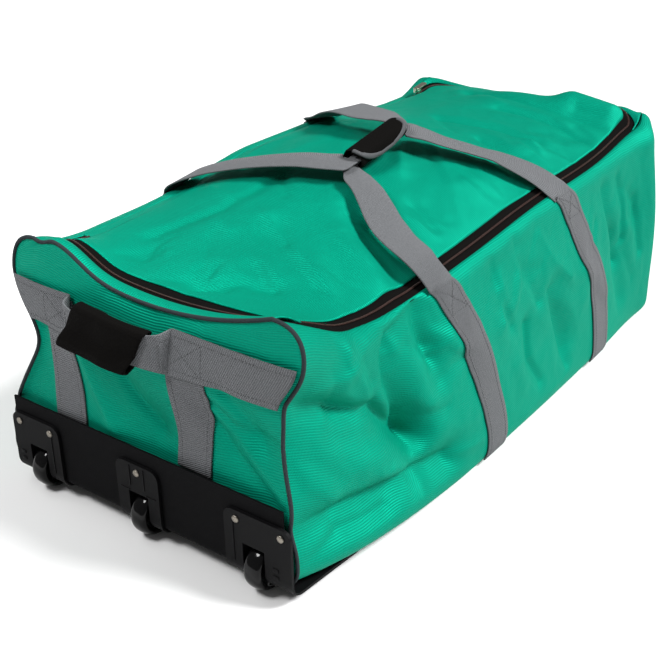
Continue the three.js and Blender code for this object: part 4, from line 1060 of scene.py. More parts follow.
# The strips between zip and piping: flat size in metres and how high they roll
BORDERS = {"wheel": dict(flat=(0.026, 0.39), roll=3.5), "far": dict(flat=(0.02, 0.39), roll=5.5)}
NEAR_BEND = 0.55
# The base starts behind the wheel wells, as a share of the length
BASE_START = 0.062


def side_panel(side):
    """A long side, held under its webbing and lowered where it hangs from the zip."""
    along = np.linspace(0, 1, 281)
    up = np.linspace(0, 1, 107)
    grid = side_point(side, along[:, None], up[None, :])
    if side == "right":
        gape = GAPE["wide"] * np.exp(-(((grid[:, -1, 0] - GAPE["x"]) / GAPE["spread"]) ** 2))
        tall = np.sum(np.linalg.norm(np.diff(grid, axis=1), axis=-1), axis=1)
        grid = side_point(side, along[:, None], up[None, :] * (1 - gape / tall)[:, None])
    outward = np.array((0, SIDES[side]["sign"], SIDE_LEAN))
    held = rim_held(grid.shape[:2])
    held[:, up < SIDE_FOOT_HELD] = 1
    for legs in (SEWN_FRONT, SEWN_REAR):
        middle = column(legs, "x", up)[None, :]
        under = np.abs(grid[..., 0] - middle) < WEBBING_WIDTH / 2 + HELD_BESIDE["side"]
        held[under & (up[None, :] > legs["at"][0])] = 1
    grid = relaxed("side_" + side, grid, outward, held, **SIDE_BUCKLE)
    return cloth_panel("cloth_side_" + side, grid, outward, ["side_" + side])


def lid_panel():
    """The lid, with a grid that follows its rounded corners."""
    radius = ZIP_CORNER - (ZIP_WIDTH - LID_OVER_ZIP)
    corner = np.linspace(0, 1, 6)[1:] * radius

    def lines(half, count):
        straight = np.linspace(-half, half, count)
        return np.concatenate([-half - corner[::-1], straight, half + corner])

    x, y = np.meshgrid(lines(PLAN_X, 241), lines(PLAN_Y, 91), indexing="ij")
    p = np.maximum(np.abs(x) - PLAN_X, 0) / radius
    q = np.maximum(np.abs(y) - PLAN_Y, 0) / radius
    bent_x = np.where(p > 0, np.sign(x) * (PLAN_X + radius * p * np.sqrt(1 - q * q / 2)), x)
    bent_y = np.where(q > 0, np.sign(y) * (PLAN_Y + radius * q * np.sqrt(1 - p * p / 2)), y)
    drawn = LENS * np.clip(1 - (bent_y / TOP_HALF_WIDTH) ** 2, 0, 1) * np.clip(-x / PLAN_X, 0, 1) ** 4
    grid = top_point(PLAN_MIDDLE + bent_x + drawn, bent_y) + UP * LID_RISE
    grid = relaxed("lid", grid, UP, rim_held(grid.shape[:2]), **LID_BUCKLE)
    return cloth_panel("cloth_lid", grid, UP, ["lid_panel"], turned=True)


def border_panel(end):
    """The rolled strip between the zip and the piping of an end."""
    border = BORDERS[end]
    y = np.linspace(-TOP_HALF_WIDTH, TOP_HALF_WIDTH, 140)
    over = np.maximum(np.abs(y) - PLAN_Y, 0)
    bend = ZIP_CORNER - np.sqrt(np.maximum(ZIP_CORNER**2 - over**2, 0))
    if end == "wheel":
        bend = np.where(y < 0, NEAR_BEND * bend, bend)
    t = np.linspace(0, 1, 17)
    x = (ZIP_END_INSET[end] + bend[:, None] + BORDER_OVERLAP) * t[None, :]
    grid = top_point(x if end == "wheel" else TOP_LENGTH - x, y[:, None])
    grid = grid + UP * (BORDER_RISE + border["roll"] * arch(t, 1))[None, :, None]
    return cloth_panel("cloth_border_" + end, grid, UP, ["border_" + end], turned=True)


def hinge_panel():
    """The strip that hinges the lid along the hidden side."""
    insets = np.linspace(-1, ZIP_WIDTH, 15)
    grid = top_strip(-ZIP_START, ZIP_START, 220, insets, np.full(len(insets), HINGE_RISE))
    return cloth_panel("cloth_hinge", grid, UP, ["lid_hinge"])


END_ROOM = 1.5
WHEEL_PANEL_FOOT = 0.12
# The wheel wells cut out of the wheel end: middles across, half width and height
WELLS = dict(across=(-170, 0, 170), half_width=21, top=68)


def clear_of_wells(centres):
    """Which faces of the wheel end lie clear of the wheel wells."""
    beside = np.abs(centres[:, 1:2] - np.array(WELLS["across"], float)).min(1)
    return (beside > WELLS["half_width"]) | (centres[:, 2] > WELLS["top"])


def end_panel(end):
    """An end, held under its webbing, with the wheel wells cut out."""
    outward = np.array((-1.0 if end == "wheel" else 1.0, 0, 0))
    low = WHEEL_PANEL_FOOT if end == "wheel" else 0
    across, ups = np.linspace(0, 1, 141), np.linspace(low, 1, 91)
    grid = end_grid(end, across, ups, END_ROOM)
    held = rim_held(grid.shape[:2])
    if end == "wheel":
        held[np.abs(grid[..., 2] - BAND_Z) < WEBBING_WIDTH / 2] = 1
        for y in END_WEBS.values():
            under = np.abs(grid[..., 1] - y) < WEBBING_WIDTH / 2 + HELD_BESIDE["end"]
            held[under & (grid[..., 2] < BAND_Z)] = 1
    grid = relaxed("end_" + end, grid, outward, held, **END_BUCKLE)
    nodes = ["end_panel_" + end]
    keeps = clear_of_wells if end == "wheel" else None
    return cloth_panel("cloth_end_" + end, grid, outward, nodes, keeps=keeps)


def base_panel():
    """The flat base behind the wheels."""
    along, across = np.linspace(BASE_START, 1, 60), np.linspace(-1, 1, 24)
    grid = base_point(along[:, None], across[None, :])
    return cloth_panel("cloth_base", grid, -UP, ["base_panel"])


# Webbing

THREAD_LIFT = WEBBING / 2 + 0.05
EDGE_LANE = 4


def webbing_lanes():
    """Lane places across the webbing and how full each is."""
    return rounded(9, WEBBING_WIDTH, WEBBING / 2)


def webbing_piece(name, points, normals, full, node):
    """Webbing along a grid of middle points."""
    piece = thick_sheet(name, points, normals, full[None, :] * WEBBING / 2)
    return dress(piece, finish(twill_webbing), [node])


def side_normals(side, along, up, reach=0.006):
    """Normals of a long side, measured over a small share either way."""
    forward = side_point(side, along + reach, up) - side_point(side, along - reach, up)
    above, below = np.minimum(up + reach, 1), np.maximum(up - reach, 0)
    upward = side_point(side, along, above) - side_point(side, along, below)
    normal = unit(np.cross(forward, upward))
    return normal * np.sign(normal[..., 1:2] * SIDES[side]["sign"])


def sewn_leg(side, legs, lanes):
    """Middle points and normals of a leg of webbing sewn to a side, in lanes across it."""
    up = np.linspace(legs["at"][0], legs["at"][-1], 64)
    length = FAR_END["x"][0] - WHEEL_END["x"][0]
    along = (column(legs, "x", up) - WHEEL_END["x"][0]) / length
    spread = along[:, None] + lanes[None, :] * WEBBING_WIDTH / length
    normals = side_normals(side, spread, up[:, None])
    return side_point(side, spread, up[:, None]) + normals * (SEWN_GAP + WEBBING / 2), normals


def free_run(side, front, rear, lanes):
    """The webbing's free run over the lid, from one sewn leg to the other."""
    free = SIDES[side]["free"]
    middle = len(lanes) // 2
    inner = np.stack([free["x"], free["y"], free["z"]], -1)
    path = curve_through(np.vstack([front[0][-1, middle], inner, rear[0][-1, middle]]), 170)
    t = np.linspace(0, 1, len(path))
    tangent = unit(np.gradient(path, axis=0))
    edge = np.where(t[:, None] < 0.5, front[1][-1, middle], rear[1][-1, middle])
    to_edge = np.clip(1 - np.minimum(t, 1 - t) / LIFT_OFF, 0, 1)[:, None]
    normal = mix(UP, edge, to_edge)
    normal = unit(normal - tangent * np.sum(normal * tangent, -1, keepdims=True))
    turned = np.concatenate([[0], free["turn"], [0]])
    turn = np.radians(np.interp(t, np.linspace(0, 1, len(turned)), turned))[:, None]
    normal = normal * np.cos(turn) + np.cross(tangent, normal) * np.sin(turn)
    past = np.maximum(np.maximum(WRAP["x1"] - path[:, 0], path[:, 0] - WRAP["x2"]), 0)
    from_wrap = np.hypot(past, path[:, 1] - WRAP["y"])
    ahead = path[:, 0] < (WRAP["x1"] + WRAP["x2"]) / 2
    run, part = np.where(ahead, *GATHER[side]), np.where(ahead, *GATHER["part"])
    part = part if side == "right" else WEBBING_WIDTH
    spread = np.clip((from_wrap - GATHER["reach"]) / run, 0, 1)
    opened = np.clip((from_wrap - GATHER["reach"] - run) / GATHER["rest"], 0, 1)
    width = mix(mix(GATHER["width"], part, spread), WEBBING_WIDTH, opened)
    across = np.cross(tangent, normal)
    if np.dot(across[0], front[0][-1, -1] - front[0][-1, 0]) < 0:
        across = -across
    points = path[:, None] + across[:, None] * (lanes[None, :] * width[:, None])[..., None]
    return points, np.repeat(normal[:, None], len(lanes), axis=1)


def carry_handle(side):
    """A carry handle's webbing. Gives its two sewn legs."""
    lanes, full = webbing_lanes()
    front, rear = (sewn_leg(side, legs, lanes) for legs in (SEWN_FRONT, SEWN_REAR))
    run = free_run(side, front, rear, lanes)
    points = np.concatenate([front[0], run[0][1:-1], rear[0][::-1, ::-1]])
    normals = np.concatenate([front[1], run[1][1:-1], rear[1][::-1, ::-1]])
    webbing_piece("handle_webbing_" + side, points, normals, full, "handle_" + side)
    return front, rear


def leg_stitching(leg, box_length=45):
    """Rows of thread down both edges of a sewn leg, with a crossed box at its top."""
    points, normals = leg
    top = points + normals * THREAD_LIFT
    count = top.shape[1]
    low, high = EDGE_LANE, count - 1 - EDGE_LANE
    lines = [(top[:, low], normals[:, low]), (top[:, high], normals[:, high])]
    run = np.linalg.norm(top[-1, count // 2] - top[:, count // 2], axis=-1)
    start = int(np.argmin(np.abs(run - box_length)))
    lines += [(top[k, low : high + 1], normals[k, low : high + 1]) for k in (start, -2)]
    steps = len(top) - 2 - start
    t = np.linspace(0, 1, 24)
    k = np.round(start + t * steps).astype(int)
    for ends in ((low, high), (high, low)):
        j = mix(ends[0], ends[1], t)
        j0 = np.clip(np.floor(j).astype(int), 0, count - 2)
        share = (j - j0)[:, None]
        lines.append((mix(top[k, j0], top[k, j0 + 1], share), normals[k, j0]))
    return lines


# Wrap

def wrap_axis_z(x):
    """Height of the wrap's middle line."""
    return mix(WRAP["z1"], WRAP["z2"], (x - WRAP["x1"]) / (WRAP["x2"] - WRAP["x1"]))


def wrap_grid():
    """The padded strip wound round both handles, its flap narrowing to a half ellipse."""
    t = np.linspace(0, 1, WRAP_ROWS)
    total = 2 * math.pi + FLAP["overlap"]
    flat = WRAP["half_width"] - WRAP["half_height"]
    from_end = total * (1 - t)
    angle = FLAP["end_angle"] - from_end
    lap = eased(np.clip(1 - (from_end - FLAP["overlap"]) / FLAP["ramp"], 0, 1))
    radius = WRAP["half_height"] + lap * (WRAP["thickness"] + FLAP["gap"])
    y = flat * np.clip(RING_FLAT * np.cos(angle), -1, 1) + radius * np.cos(angle)
    z = radius * np.sin(angle)
    tip = math.radians(WRAP["tip"])
    y, z = y * math.cos(tip) - z * math.sin(tip), y * math.sin(tip) + z * math.cos(tip)
    close = np.clip(1 - from_end / FLAP["round"], 0, 1)
    inset = (WRAP["x2"] - WRAP["x1"]) / 2 * (1 - np.maximum(np.sqrt(1 - close**2), FLAP["tip"]))
    s = np.linspace(0, 1, WRAP_COLUMNS)[None, :]
    x = mix(WRAP["x1"] + inset[:, None], WRAP["x2"] - inset[:, None], s)
    y, z = np.broadcast_to(y[:, None], x.shape), np.broadcast_to(z[:, None], x.shape)
    grid = np.stack([x, WRAP["y"] + y, wrap_axis_z(x) + z], -1)
    normals = unit(np.cross(np.gradient(grid, axis=0), np.gradient(grid, axis=1)))
    away = np.stack([np.zeros_like(x), y, z], -1)
    normals[..., 0] = 0
    normals = unit(normals)
    return grid, normals * np.sign(np.sum(normals * away, -1, keepdims=True))


def wrap_pad():
    """The wrap's padding, thinned towards its rim."""
    grid, normals = wrap_grid()
    s = np.linspace(0, 1, WRAP_COLUMNS)[None, :]
    wide = np.linalg.norm(grid[:, -1] - grid[:, 0], axis=-1)[:, None]
    from_side = np.minimum(s, 1 - s) * wide
    run = np.cumsum(np.linalg.norm(np.diff(grid[:, WRAP_COLUMNS // 2], axis=0), axis=-1)[::-1])[::-1]
    from_tip = np.append(run, 0)[:, None]
    near = np.clip(np.minimum(from_side, from_tip) / WRAP_EDGE, 0, 1)
    half = WRAP["thickness"] / 2 * np.maximum(np.sqrt(1 - (1 - near) ** 2), 0.2)
    middle = grid + normals * WRAP["thickness"] / 2
    piece = thick_sheet("wrap_padding", middle, normals, half)
    dress(piece, finish(brushed_pad), ["wrap_pad"])


def wrap_binding():
    """The tape sewn over the rim of the wrap's flap."""
    grid, normals = wrap_grid()
    last, side = BINDING["rows"], WRAP_COLUMNS - 1
    rim = [(k, 0) for k in range(-last, 0)]
    rim += [(-1, j) for j in range(1, side)]
    rim += [(k, side) for k in range(-1, -last - 1, -1)]
    points = curve_through([grid[k] for k in rim[::2]], BINDING["points"])
    outs = unit(curve_through([normals[k] for k in rim[::2]], BINDING["points"]))
    middle = grid[-last // 2, WRAP_COLUMNS // 2]
    half = WRAP["thickness"] / 2
    tangent = unit(np.gradient(points, axis=0))
    inward = np.cross(outs, tangent)
    inward = inward * np.sign(np.sum(inward * (middle - points), -1, keepdims=True))
    centre = (points + outs * half + inward * BINDING["inset"])[:, None]
    angle = np.linspace(0, 2 * math.pi, BINDING["sides"], endpoint=False)[None, :, None]
    ring = centre + BINDING["half_width"] * np.cos(angle) * inward[:, None]
    ring = ring + (half + BINDING["over"]) * np.sin(angle) * outs[:, None]
    faces = capped(BINDING["points"], BINDING["sides"])
    uv = cloth_uv(ring).reshape(-1, 2)
    piece = face_out(mesh_piece("wrap_binding_tape", ring.reshape(-1, 3), faces, uv))
    return dress(piece, finish(binding_tape), ["wrap_binding"])


# Grab handle

def end_surface():
    """Close samples of the wheel end's cloth, for laying webbing on it."""
    return end_grid("wheel", np.linspace(0, 1, 150), np.linspace(0.1, 1, 110), END_ROOM).reshape(-1, 3)


def surface_x(samples, y, z, reach=5.0):
    """The cloth's x at places across the wheel end."""
    y, z = np.broadcast_arrays(np.asarray(y, float), np.asarray(z, float))
    out = np.empty(y.size)
    for k, (at_y, at_z) in enumerate(zip(y.ravel(), z.ravel())):
        squared = (samples[:, 1] - at_y) ** 2 + (samples[:, 2] - at_z) ** 2
        weight = np.exp(-(squared - squared.min()) / reach**2)
        out[k] = np.sum(weight * samples[:, 0]) / weight.sum()
    return out.reshape(y.shape)


def looped(y):
    """How far out the grab handle's loop is, from 0 where it is sewn to 1."""
    t = np.clip((y - GRAB_LOOP["y1"]) / (GRAB_LOOP["y2"] - GRAB_LOOP["y1"]), 0, 1)
    return arch(t, GRAB_LOOP["flat"])


# Rows of an upright that lie under the band, where it isn't stitched
UNDER_BAND = 12


def end_webbing(samples):
    """The uprights on the wheel end, and their thread lines."""
    lanes, full = webbing_lanes()
    lines = []
    out = np.array((-1.0, 0, 0))
    for name, y in END_WEBS.items():
        z = np.linspace(GUARD_TOP - 6, BAND_Z + 16, 40)[:, None]
        across = y + lanes[None, :] * WEBBING_WIDTH
        x = surface_x(samples, across, z) - SEWN_GAP - WEBBING / 2
        points = np.stack(np.broadcast_arrays(x, across, z), -1)
        normals = grid_normals(points, out)
        webbing_piece("webbing_" + name, points, normals, full, name)
        points, normals = points[:-UNDER_BAND], normals[:-UNDER_BAND]
        for lane in (EDGE_LANE, len(lanes) - 1 - EDGE_LANE):
            lines.append((points[:, lane] + normals[:, lane] * WEBBING / 2, normals[:, lane]))
    return lines


def grab_band(samples):
    """The grab handle's webbing, sewn at both ends with a loop between."""
    lanes, full = webbing_lanes()
    rising = np.linspace(LOW_SHARE, 1, 80)
    heights = BAND_Z + lanes * WEBBING_WIDTH
    along = np.linspace(*BAND_REACH, 150)[:, None]
    y = along
    for side, end in zip(SIDES, BAND_REACH):
        edge = side_point(side, 0, rising)
        seam = np.interp(heights, edge[:, 2], edge[:, 1]) - SIDES[side]["sign"] * BAND_FREE["room"]
        past = (along - BAND_FREE[side]) / (end - BAND_FREE[side])
        y = np.where(past > 0, mix(BAND_FREE[side], seam[None, :], past), y)
    z = BAND_Z + lanes[None, :] * (WEBBING_WIDTH - GRAB_LOOP["narrow"] * looped(along))
    x = surface_x(samples, y, z)
    loop = GRAB_LOOP["rise"] * looped(along)
    flat = np.clip(loop / GRAB_LOOP["level"], 0, 1)
    x = mix(x, x.min(axis=1, keepdims=True), flat) - loop - 2 * SEWN_GAP - 1.5 * WEBBING
    points = np.stack(np.broadcast_arrays(x, y, z), -1)
    normals = grid_normals(points, np.array((-1.0, 0, 0)))
    webbing_piece("grab_webbing", points, normals, full, "grab_band")
    return points, normals


# The grip's section: depth out from the band and height, folded inwards along its front
GRIP_SECTION = np.array(
    [(-6, -20), (-6, 22), (-1, 24.5), (6, 23.5), (8, 20), (3, -4), (8, -15), (7, -22), (0, -25)], float
)


def grab_grip(points):
    """A padded sleeve round the grab handle, creased along its length and slanted at its ends."""
    line = points[:, points.shape[1] // 2]
    y = np.linspace(GRIP["y1"], GRIP["y2"], 44)
    dip = np.linspace(-GRIP["dip"], GRIP["dip"], 44)[:, None]
    band_x = np.interp(y, line[:, 1], line[:, 0])
    loop = np.vstack([GRIP_SECTION, GRIP_SECTION[:1]])
    run = run_lengths(loop)
    at = np.linspace(0, run[-1], 110, endpoint=False)
    depth, height = (np.interp(at, run, loop[:, n]) for n in (0, 1))
    x = band_x[:, None] - depth[None, :] + GRIP["lean"] * height[None, :]
    slant = -GRIP["slant"] * height / GRIP["half_height"]
    ends = np.linspace(-1, 1, len(y))[:, None]
    across = y[:, None] + slant[None, :] * np.abs(ends) ** 0.5
    z = BAND_Z + height[None, :] + dip
    middle = np.stack([x, across, z], -1)
    wrapped = np.concatenate([middle[:, -1:], middle, middle[:, :1]], axis=1)
    normals = unit(np.cross(np.gradient(middle, axis=0), np.gradient(wrapped, axis=1)[:, 1:-1]))
    away = np.stack([-depth, 0 * depth, height], -1)
    normals = normals if np.sum(normals * away) > 0 else -normals
    near = np.clip((1 - np.abs(ends)) * len(y) / 2, 0, 1)
    half = GRIP["thickness"] / 2 * np.maximum(np.sqrt(1 - (1 - near) ** 2), 0.3)
    piece = thick_sheet("grab_padding", middle, normals, np.broadcast_to(half, x.shape), closed=True)
    dress(piece, finish(brushed_pad), ["grab_grip"])
    return piece


# Boxes of thread on the band, from and to across it
BAND_BOXES = ((-103, -52), (83, 134))


def band_stitching(points, normals):
    """Threads along the band's edges, and a crossed box over each upright."""
    top = points + normals * THREAD_LIFT
    low, high = EDGE_LANE, top.shape[1] - 1 - EDGE_LANE
    y = points[:, 0, 1]
    lines = []
    for right, left in BAND_BOXES:
        ends = [int(np.argmin(np.abs(y - place))) for place in (right, left)]
        lines += [(top[k, low : high + 1], normals[k, low : high + 1]) for k in ends]
        k = np.arange(ends[0], ends[1] + 1)
        for first, last in ((low, high), (high, low)):
            lane = np.linspace(first, last, len(k))
            j = np.clip(np.floor(lane).astype(int), 0, top.shape[1] - 2)
            thread = mix(top[k, j], top[k, j + 1], (lane - j)[:, None])
            lines.append((thread, normals[k, np.round(lane).astype(int)]))
    for lane in (low, high):
        for part in (y < GRAB_LOOP["y1"], y > GRAB_LOOP["y2"]):
            lines.append((top[part, lane], normals[part, lane]))
    return lines


# Zip

# The tape reaches under the cloth on both sides, further at the gape, and sinks below the top, more outwards
ZIP_TAPE = dict(under=2, under_gape=3, sunk=0.8, slope=0.5, half_thickness=0.5)
COIL = dict(inset=9, radius=1.8, flat=0.7)


def zip_parts():
    """The zip's tape, let into the top, and the coil along it."""
    reach = (ZIP_START, PLAN_LENGTH - ZIP_START)
    distance = np.linspace(*reach, 420)[:, None]
    gape = np.exp(-(((distance - GAPE_AT) / GAPE["spread"]) ** 2))
    outer = -ZIP_TAPE["under"] - (GAPE["wide"] + ZIP_TAPE["under_gape"]) * gape
    inset = mix(outer, ZIP_WIDTH + LENS + ZIP_TAPE["under"], np.linspace(0, 1, 14)[None, :])
    sunk = ZIP_TAPE["sunk"] + ZIP_TAPE["slope"] * np.maximum(-inset, 0)
    grid = top_point(*plan_point(distance, inset)) - UP * sunk[..., None]
    tape = thick_sheet("zip_tape_cloth", grid, grid_normals(grid, UP), ZIP_TAPE["half_thickness"])
    dress(tape, finish(woven_tape), ["zip_tape"])
    path = top_strip(*reach, 900, [COIL["inset"] - 1, COIL["inset"]], [0, 0])[:, 1]
    coil = tube("zip_coil", path, COIL["radius"], flat=COIL["flat"])
    dress(coil, finish(nylon_coil))


# Piping

# The far end's piping is tucked down over its upper part
TUCK = dict(from_z=240, over=60, down=9)
PIPING_FOOT = {"wheel": 0.1, "far": 0}


def piping_path(end):
    """The cord's line round an end, open at the wheel end's foot."""
    along = 0 if end == "wheel" else 1
    up = np.linspace(PIPING_FOOT[end], 1, 90)
    right, left = side_point("right", along, up), side_point("left", along, up[::-1])
    across = np.linspace(-1, 1, 90)[1:-1]
    top = top_point(along * TOP_LENGTH, across * TOP_HALF_WIDTH)
    path = [right, top, left]
    if end == "wheel":
        return np.concatenate(path)
    path = np.concatenate([*path, base_point(1, np.linspace(1, -1, 60)[1:-1])])
    high = np.clip((path[:, 2] - TUCK["from_z"]) / TUCK["over"], 0, 1)
    path[:, 2] -= TUCK["down"] * eased(high)
    return path


# Operators

class HOLDALL_settings(bpy.types.PropertyGroup):
    """Colours and sizes of the soft parts."""

    cloth_colour: bpy.props.FloatVectorProperty(
        name="Cloth", description="Ribbed cloth of the body", subtype="COLOR", min=0, max=1,
        default=(0.001, 0.26, 0.165),
    )
    webbing_colour: bpy.props.FloatVectorProperty(
        name="Webbing", description="Straps and binding", subtype="COLOR", min=0, max=1,
        default=(0.125, 0.13, 0.138),
    )
    black_colour: bpy.props.FloatVectorProperty(
        name="Black cloth", description="Padding and zip tape", subtype="COLOR", min=0, max=1,
        default=(0.0025, 0.0022, 0.002),
    )
    coil_colour: bpy.props.FloatVectorProperty(
        name="Zip coil", description="Nylon coil of the zip", subtype="COLOR", min=0, max=1,
        default=(0.04, 0.016, 0.012),
    )
    piping_colour: bpy.props.FloatVectorProperty(
        name="Piping", description="Cord cover along both ends", subtype="COLOR", min=0, max=1,
        default=(0.014, 0.02, 0.023),
    )
    plastic_colour: bpy.props.FloatVectorProperty(
        name="Plastic", description="Guard and wheel housings", subtype="COLOR", min=0, max=1,
        default=(0.0028, 0.0028, 0.0032),
    )
    rubber_colour: bpy.props.FloatVectorProperty(
        name="Wheels", description="Wheel tyres", subtype="COLOR", min=0, max=1,
        default=(0.003, 0.003, 0.0032),
    )
    steel_colour: bpy.props.FloatVectorProperty(
        name="Rivets", description="Rivets and axles", subtype="COLOR", min=0, max=1,
        default=(0.22, 0.2, 0.17),
    )
    zip_colour: bpy.props.FloatVectorProperty(
        name="Zip pull", description="Slider and pull", subtype="COLOR", min=0, max=1,
        default=(0.5, 0.47, 0.38),
    )
    rib_pitch: bpy.props.FloatProperty(
        name="Rib pitch", description="Distance between the ribs of the cloth", subtype="DISTANCE",
        unit="LENGTH", min=0.0005, default=0.003,
    )
    key_strength: bpy.props.FloatProperty(
        name="Key light", description="Strength of the broad light from above", min=0, default=6.3,
    )
    fill_strength: bpy.props.FloatProperty(
        name="Fill light", description="Strength of the even light all round", min=0, default=0.21,
    )
    floor_colour: bpy.props.FloatVectorProperty(
        name="Floor", description="Studio floor", subtype="COLOR", min=0, max=1, default=(0.7, 0.7, 0.7),
    )


class HOLDALL_OT_cloth(bpy.types.Operator):
    """Builds the cloth panels of the body."""

    bl_idname = "holdall.cloth"
    bl_label = "Cloth panels"

    def execute(self, context):
        for side in SIDES:
            side_panel(side)
        lid_panel()
        hinge_panel()
        base_panel()
        for end in ("wheel", "far"):
            border_panel(end)
            end_panel(end)
        return {"FINISHED"}


class HOLDALL_OT_zip(bpy.types.Operator):
    """Builds the zip's tape and coil and finishes its slider and pull."""

    bl_idname = "holdall.zip"
    bl_label = "Zip"

    def execute(self, context):
        zip_parts()
        for name in ("zip_slider", "zip_pull"):
            finish_node(name, finish(aged_metal), ROUNDED["zip"])
        return {"FINISHED"}


class HOLDALL_OT_piping(bpy.types.Operator):
    """Builds the piped cord round both ends."""

    bl_idname = "holdall.piping"
    bl_label = "Piping"

    def execute(self, context):
        for end in ("wheel", "far"):
            cord = tube("piping_cord_" + end, piping_path(end), PIPING_RADIUS)
            dress(cord, finish(cord_cover), ["piping_" + end])
        return {"FINISHED"}


class HOLDALL_OT_handles(bpy.types.Operator):
    """Builds both carry handles with their stitching."""

    bl_idname = "holdall.handles"
    bl_label = "Carry handles"

    def execute(self, context):
        lines = []
        for side in SIDES:
            for leg in carry_handle(side):
                lines += leg_stitching(leg)
        thread = stitches("handle_stitching", lines)
        dress(thread, finish(sewing_thread))
        return {"FINISHED"}


class HOLDALL_OT_wrap(bpy.types.Operator):
    """Builds the padded wrap that gathers the handles."""

    bl_idname = "holdall.wrap"
    bl_label = "Handle wrap"

    def execute(self, context):
        wrap_pad()
        wrap_binding()
        return {"FINISHED"}


class HOLDALL_OT_grab(bpy.types.Operator):
    """Builds the grab handle, its grip and the uprights across the wheel end."""

    bl_idname = "holdall.grab"
    bl_label = "Grab handle"

    def execute(self, context):
        samples = end_surface()
        lines = end_webbing(samples)
        points, normals = grab_band(samples)
        grab_grip(points)
        lines += band_stitching(points, normals)
        dress(stitches("grab_stitching", lines), finish(sewing_thread))
        return {"FINISHED"}


BAR_DEPTH = 0.9
BAR_SUNK = 0.3
BAR_ROUND = 0.4
# Rivet heads: how far they are sunk, the height of their rim and of the dome on it
RIVET = dict(sunk=0.2, rim=0.6, dome=1.6)
# How far the edges of the CAD nodes are rounded
ROUNDED = dict(guard=0.8, housing=1.2, zip=0.5)
# Bars on each housing: middle across, middle height, width and height
HOUSING_BARS = {
    "right": ((-200, 46, 8, 5), (-200, 37, 8, 4), (-143, 60, 1.4, 50)),
    "middle": ((-11, 84, 1.3, 28), (11, 84, 1.3, 28), (-20, 64, 16, 1.3), (20, 64, 16, 1.3)),
    "left": ((200, 46, 8, 5), (200, 37, 8, 4), (143, 60, 1.4, 50)),
}


def plates(name, boxes):
    """Small rounded bars lying on the housings' front."""
    corners, faces = [], []
    for y, z, width, height in boxes:
        first = len(corners)
        for x in (HOUSING_FACE_X + BAR_SUNK, HOUSING_FACE_X - BAR_DEPTH):
            for side in (-1, 1):
                corners += [(x, y + side * width / 2, z + up * height / 2) for up in (-1, 1)]
        faces += [[first + n for n in face] for face in BOX_FACES]
    piece = face_out(mesh_piece(name, np.array(corners), faces))
    bevel = piece.modifiers.new("round", "BEVEL")
    bevel.width = BAR_ROUND * MM
    bevel.segments = 2
    return bake(piece)


class HOLDALL_OT_guard(bpy.types.Operator):
    """Finishes the guard and the housings, and builds the rivets."""

    bl_idname = "holdall.guard"
    bl_label = "Guard and housings"

    def execute(self, context):
        finish_node("end_guard", finish(grained_sheet), ROUNDED["guard"])
        for name in HOUSING_BARS:
            finish_node("housing_" + name, finish(moulded_plastic), ROUNDED["housing"])
        for name, boxes in HOUSING_BARS.items():
            bars = plates("housing_bars_" + name, boxes)
            dress(bars, finish(moulded_plastic))
        bend = np.linspace(0, QUARTER, 8)[:-1]
        top = RIVET["rim"] + RIVET["dome"]
        profile = [(NEAR_AXIS, -RIVET["sunk"]), (RIVET_RADIUS, -RIVET["sunk"])]
        profile += [(RIVET_RADIUS * math.cos(a), RIVET["rim"] + RIVET["dome"] * math.sin(a)) for a in bend]
        profile.append((NEAR_AXIS, top))
        for number in range(1, 6):
            centre = box_middle(f"rivet_{number}")
            centre[0] = HOUSING_FACE_X
            head = lathe(f"rivet_head_{number}", profile, centre, (-1, 0, 0))
            dress(head, finish(plated_steel), [f"rivet_{number}"])
        return {"FINISHED"}


class HOLDALL_OT_wheels(bpy.types.Operator):
    """Builds the wheels and their axles."""

    bl_idname = "holdall.wheels"
    bl_label = "Wheels"

    def execute(self, context):
        half = WHEEL_WIDTH / 2
        tread = [
            (RIM_RADIUS + (WHEEL_RADIUS - RIM_RADIUS) * math.sin(a) ** 0.8, half * math.cos(a) ** 0.8)
            for a in np.linspace(0.02, QUARTER, 12)
        ]
        web = half - WEB_STEP
        side = [(BORE, half), (HUB_RADIUS - 1, half), (HUB_RADIUS, half - 0.6), (HUB_RADIUS + 1, web)]
        side += [(RIM_RADIUS - 3, web), (RIM_RADIUS - 2, half - 0.5), *tread]
        profile = side + [(r, -h) for r, h in side[-2::-1]]
        reach = AXLE_LENGTH / 2
        pin = [(NEAR_AXIS, -reach), (AXLE_RADIUS, -reach), (AXLE_RADIUS, reach), (NEAR_AXIS, reach)]
        for name in HOUSING_BARS:
            centre = box_middle("wheel_" + name)
            tyre = lathe("tyre_" + name, profile, centre, (0, 1, 0), sides=72)
            dress(tyre, finish(glossy_rubber), ["wheel_" + name], body="wheel_" + name)
            axle = lathe("axle_pin_" + name, pin, centre, (0, 1, 0), sides=32)
            dress(axle, finish(plated_steel), ["axle_" + name])
        return {"FINISHED"}


CAMERA = dict(
    azimuth=-53.2, elevation=26.7, roll=-0.8, focal_px=1126, frame_px=665, sensor=36, distance=1.44,
    target=(321, -43, 150),
)
# The studio floor in metres: how far it reaches and how far below the wheels it lies
FLOOR_REACH = 12
FLOOR_DROP = 0.0005
# The broad key: where it comes from and how wide it looks
KEY_FROM = (0.95, -1.75, 1.95)
KEY_ANGLE = math.radians(17)
# Soft lights: name, width, power in watts, place from the bag's middle in metres
BAG_MIDDLE = (470, 0, 170)
LAMPS = (
    ("rim", 1.6, 18, (-0.6, 1.4, 2.4)),
    ("front", 0.7, 50, (-1.5, 0.7, 1.9)),
)


def studio_floor(settings):
    return principled("studio_floor", settings.floor_colour, roughness=0.7, Specular_IOR_Level=0.2)


def aimed(item, place):
    """Turns a light at the given place towards the middle."""
    item.rotation_euler = (-Vector(place)).to_track_quat("-Z", "Y").to_euler()


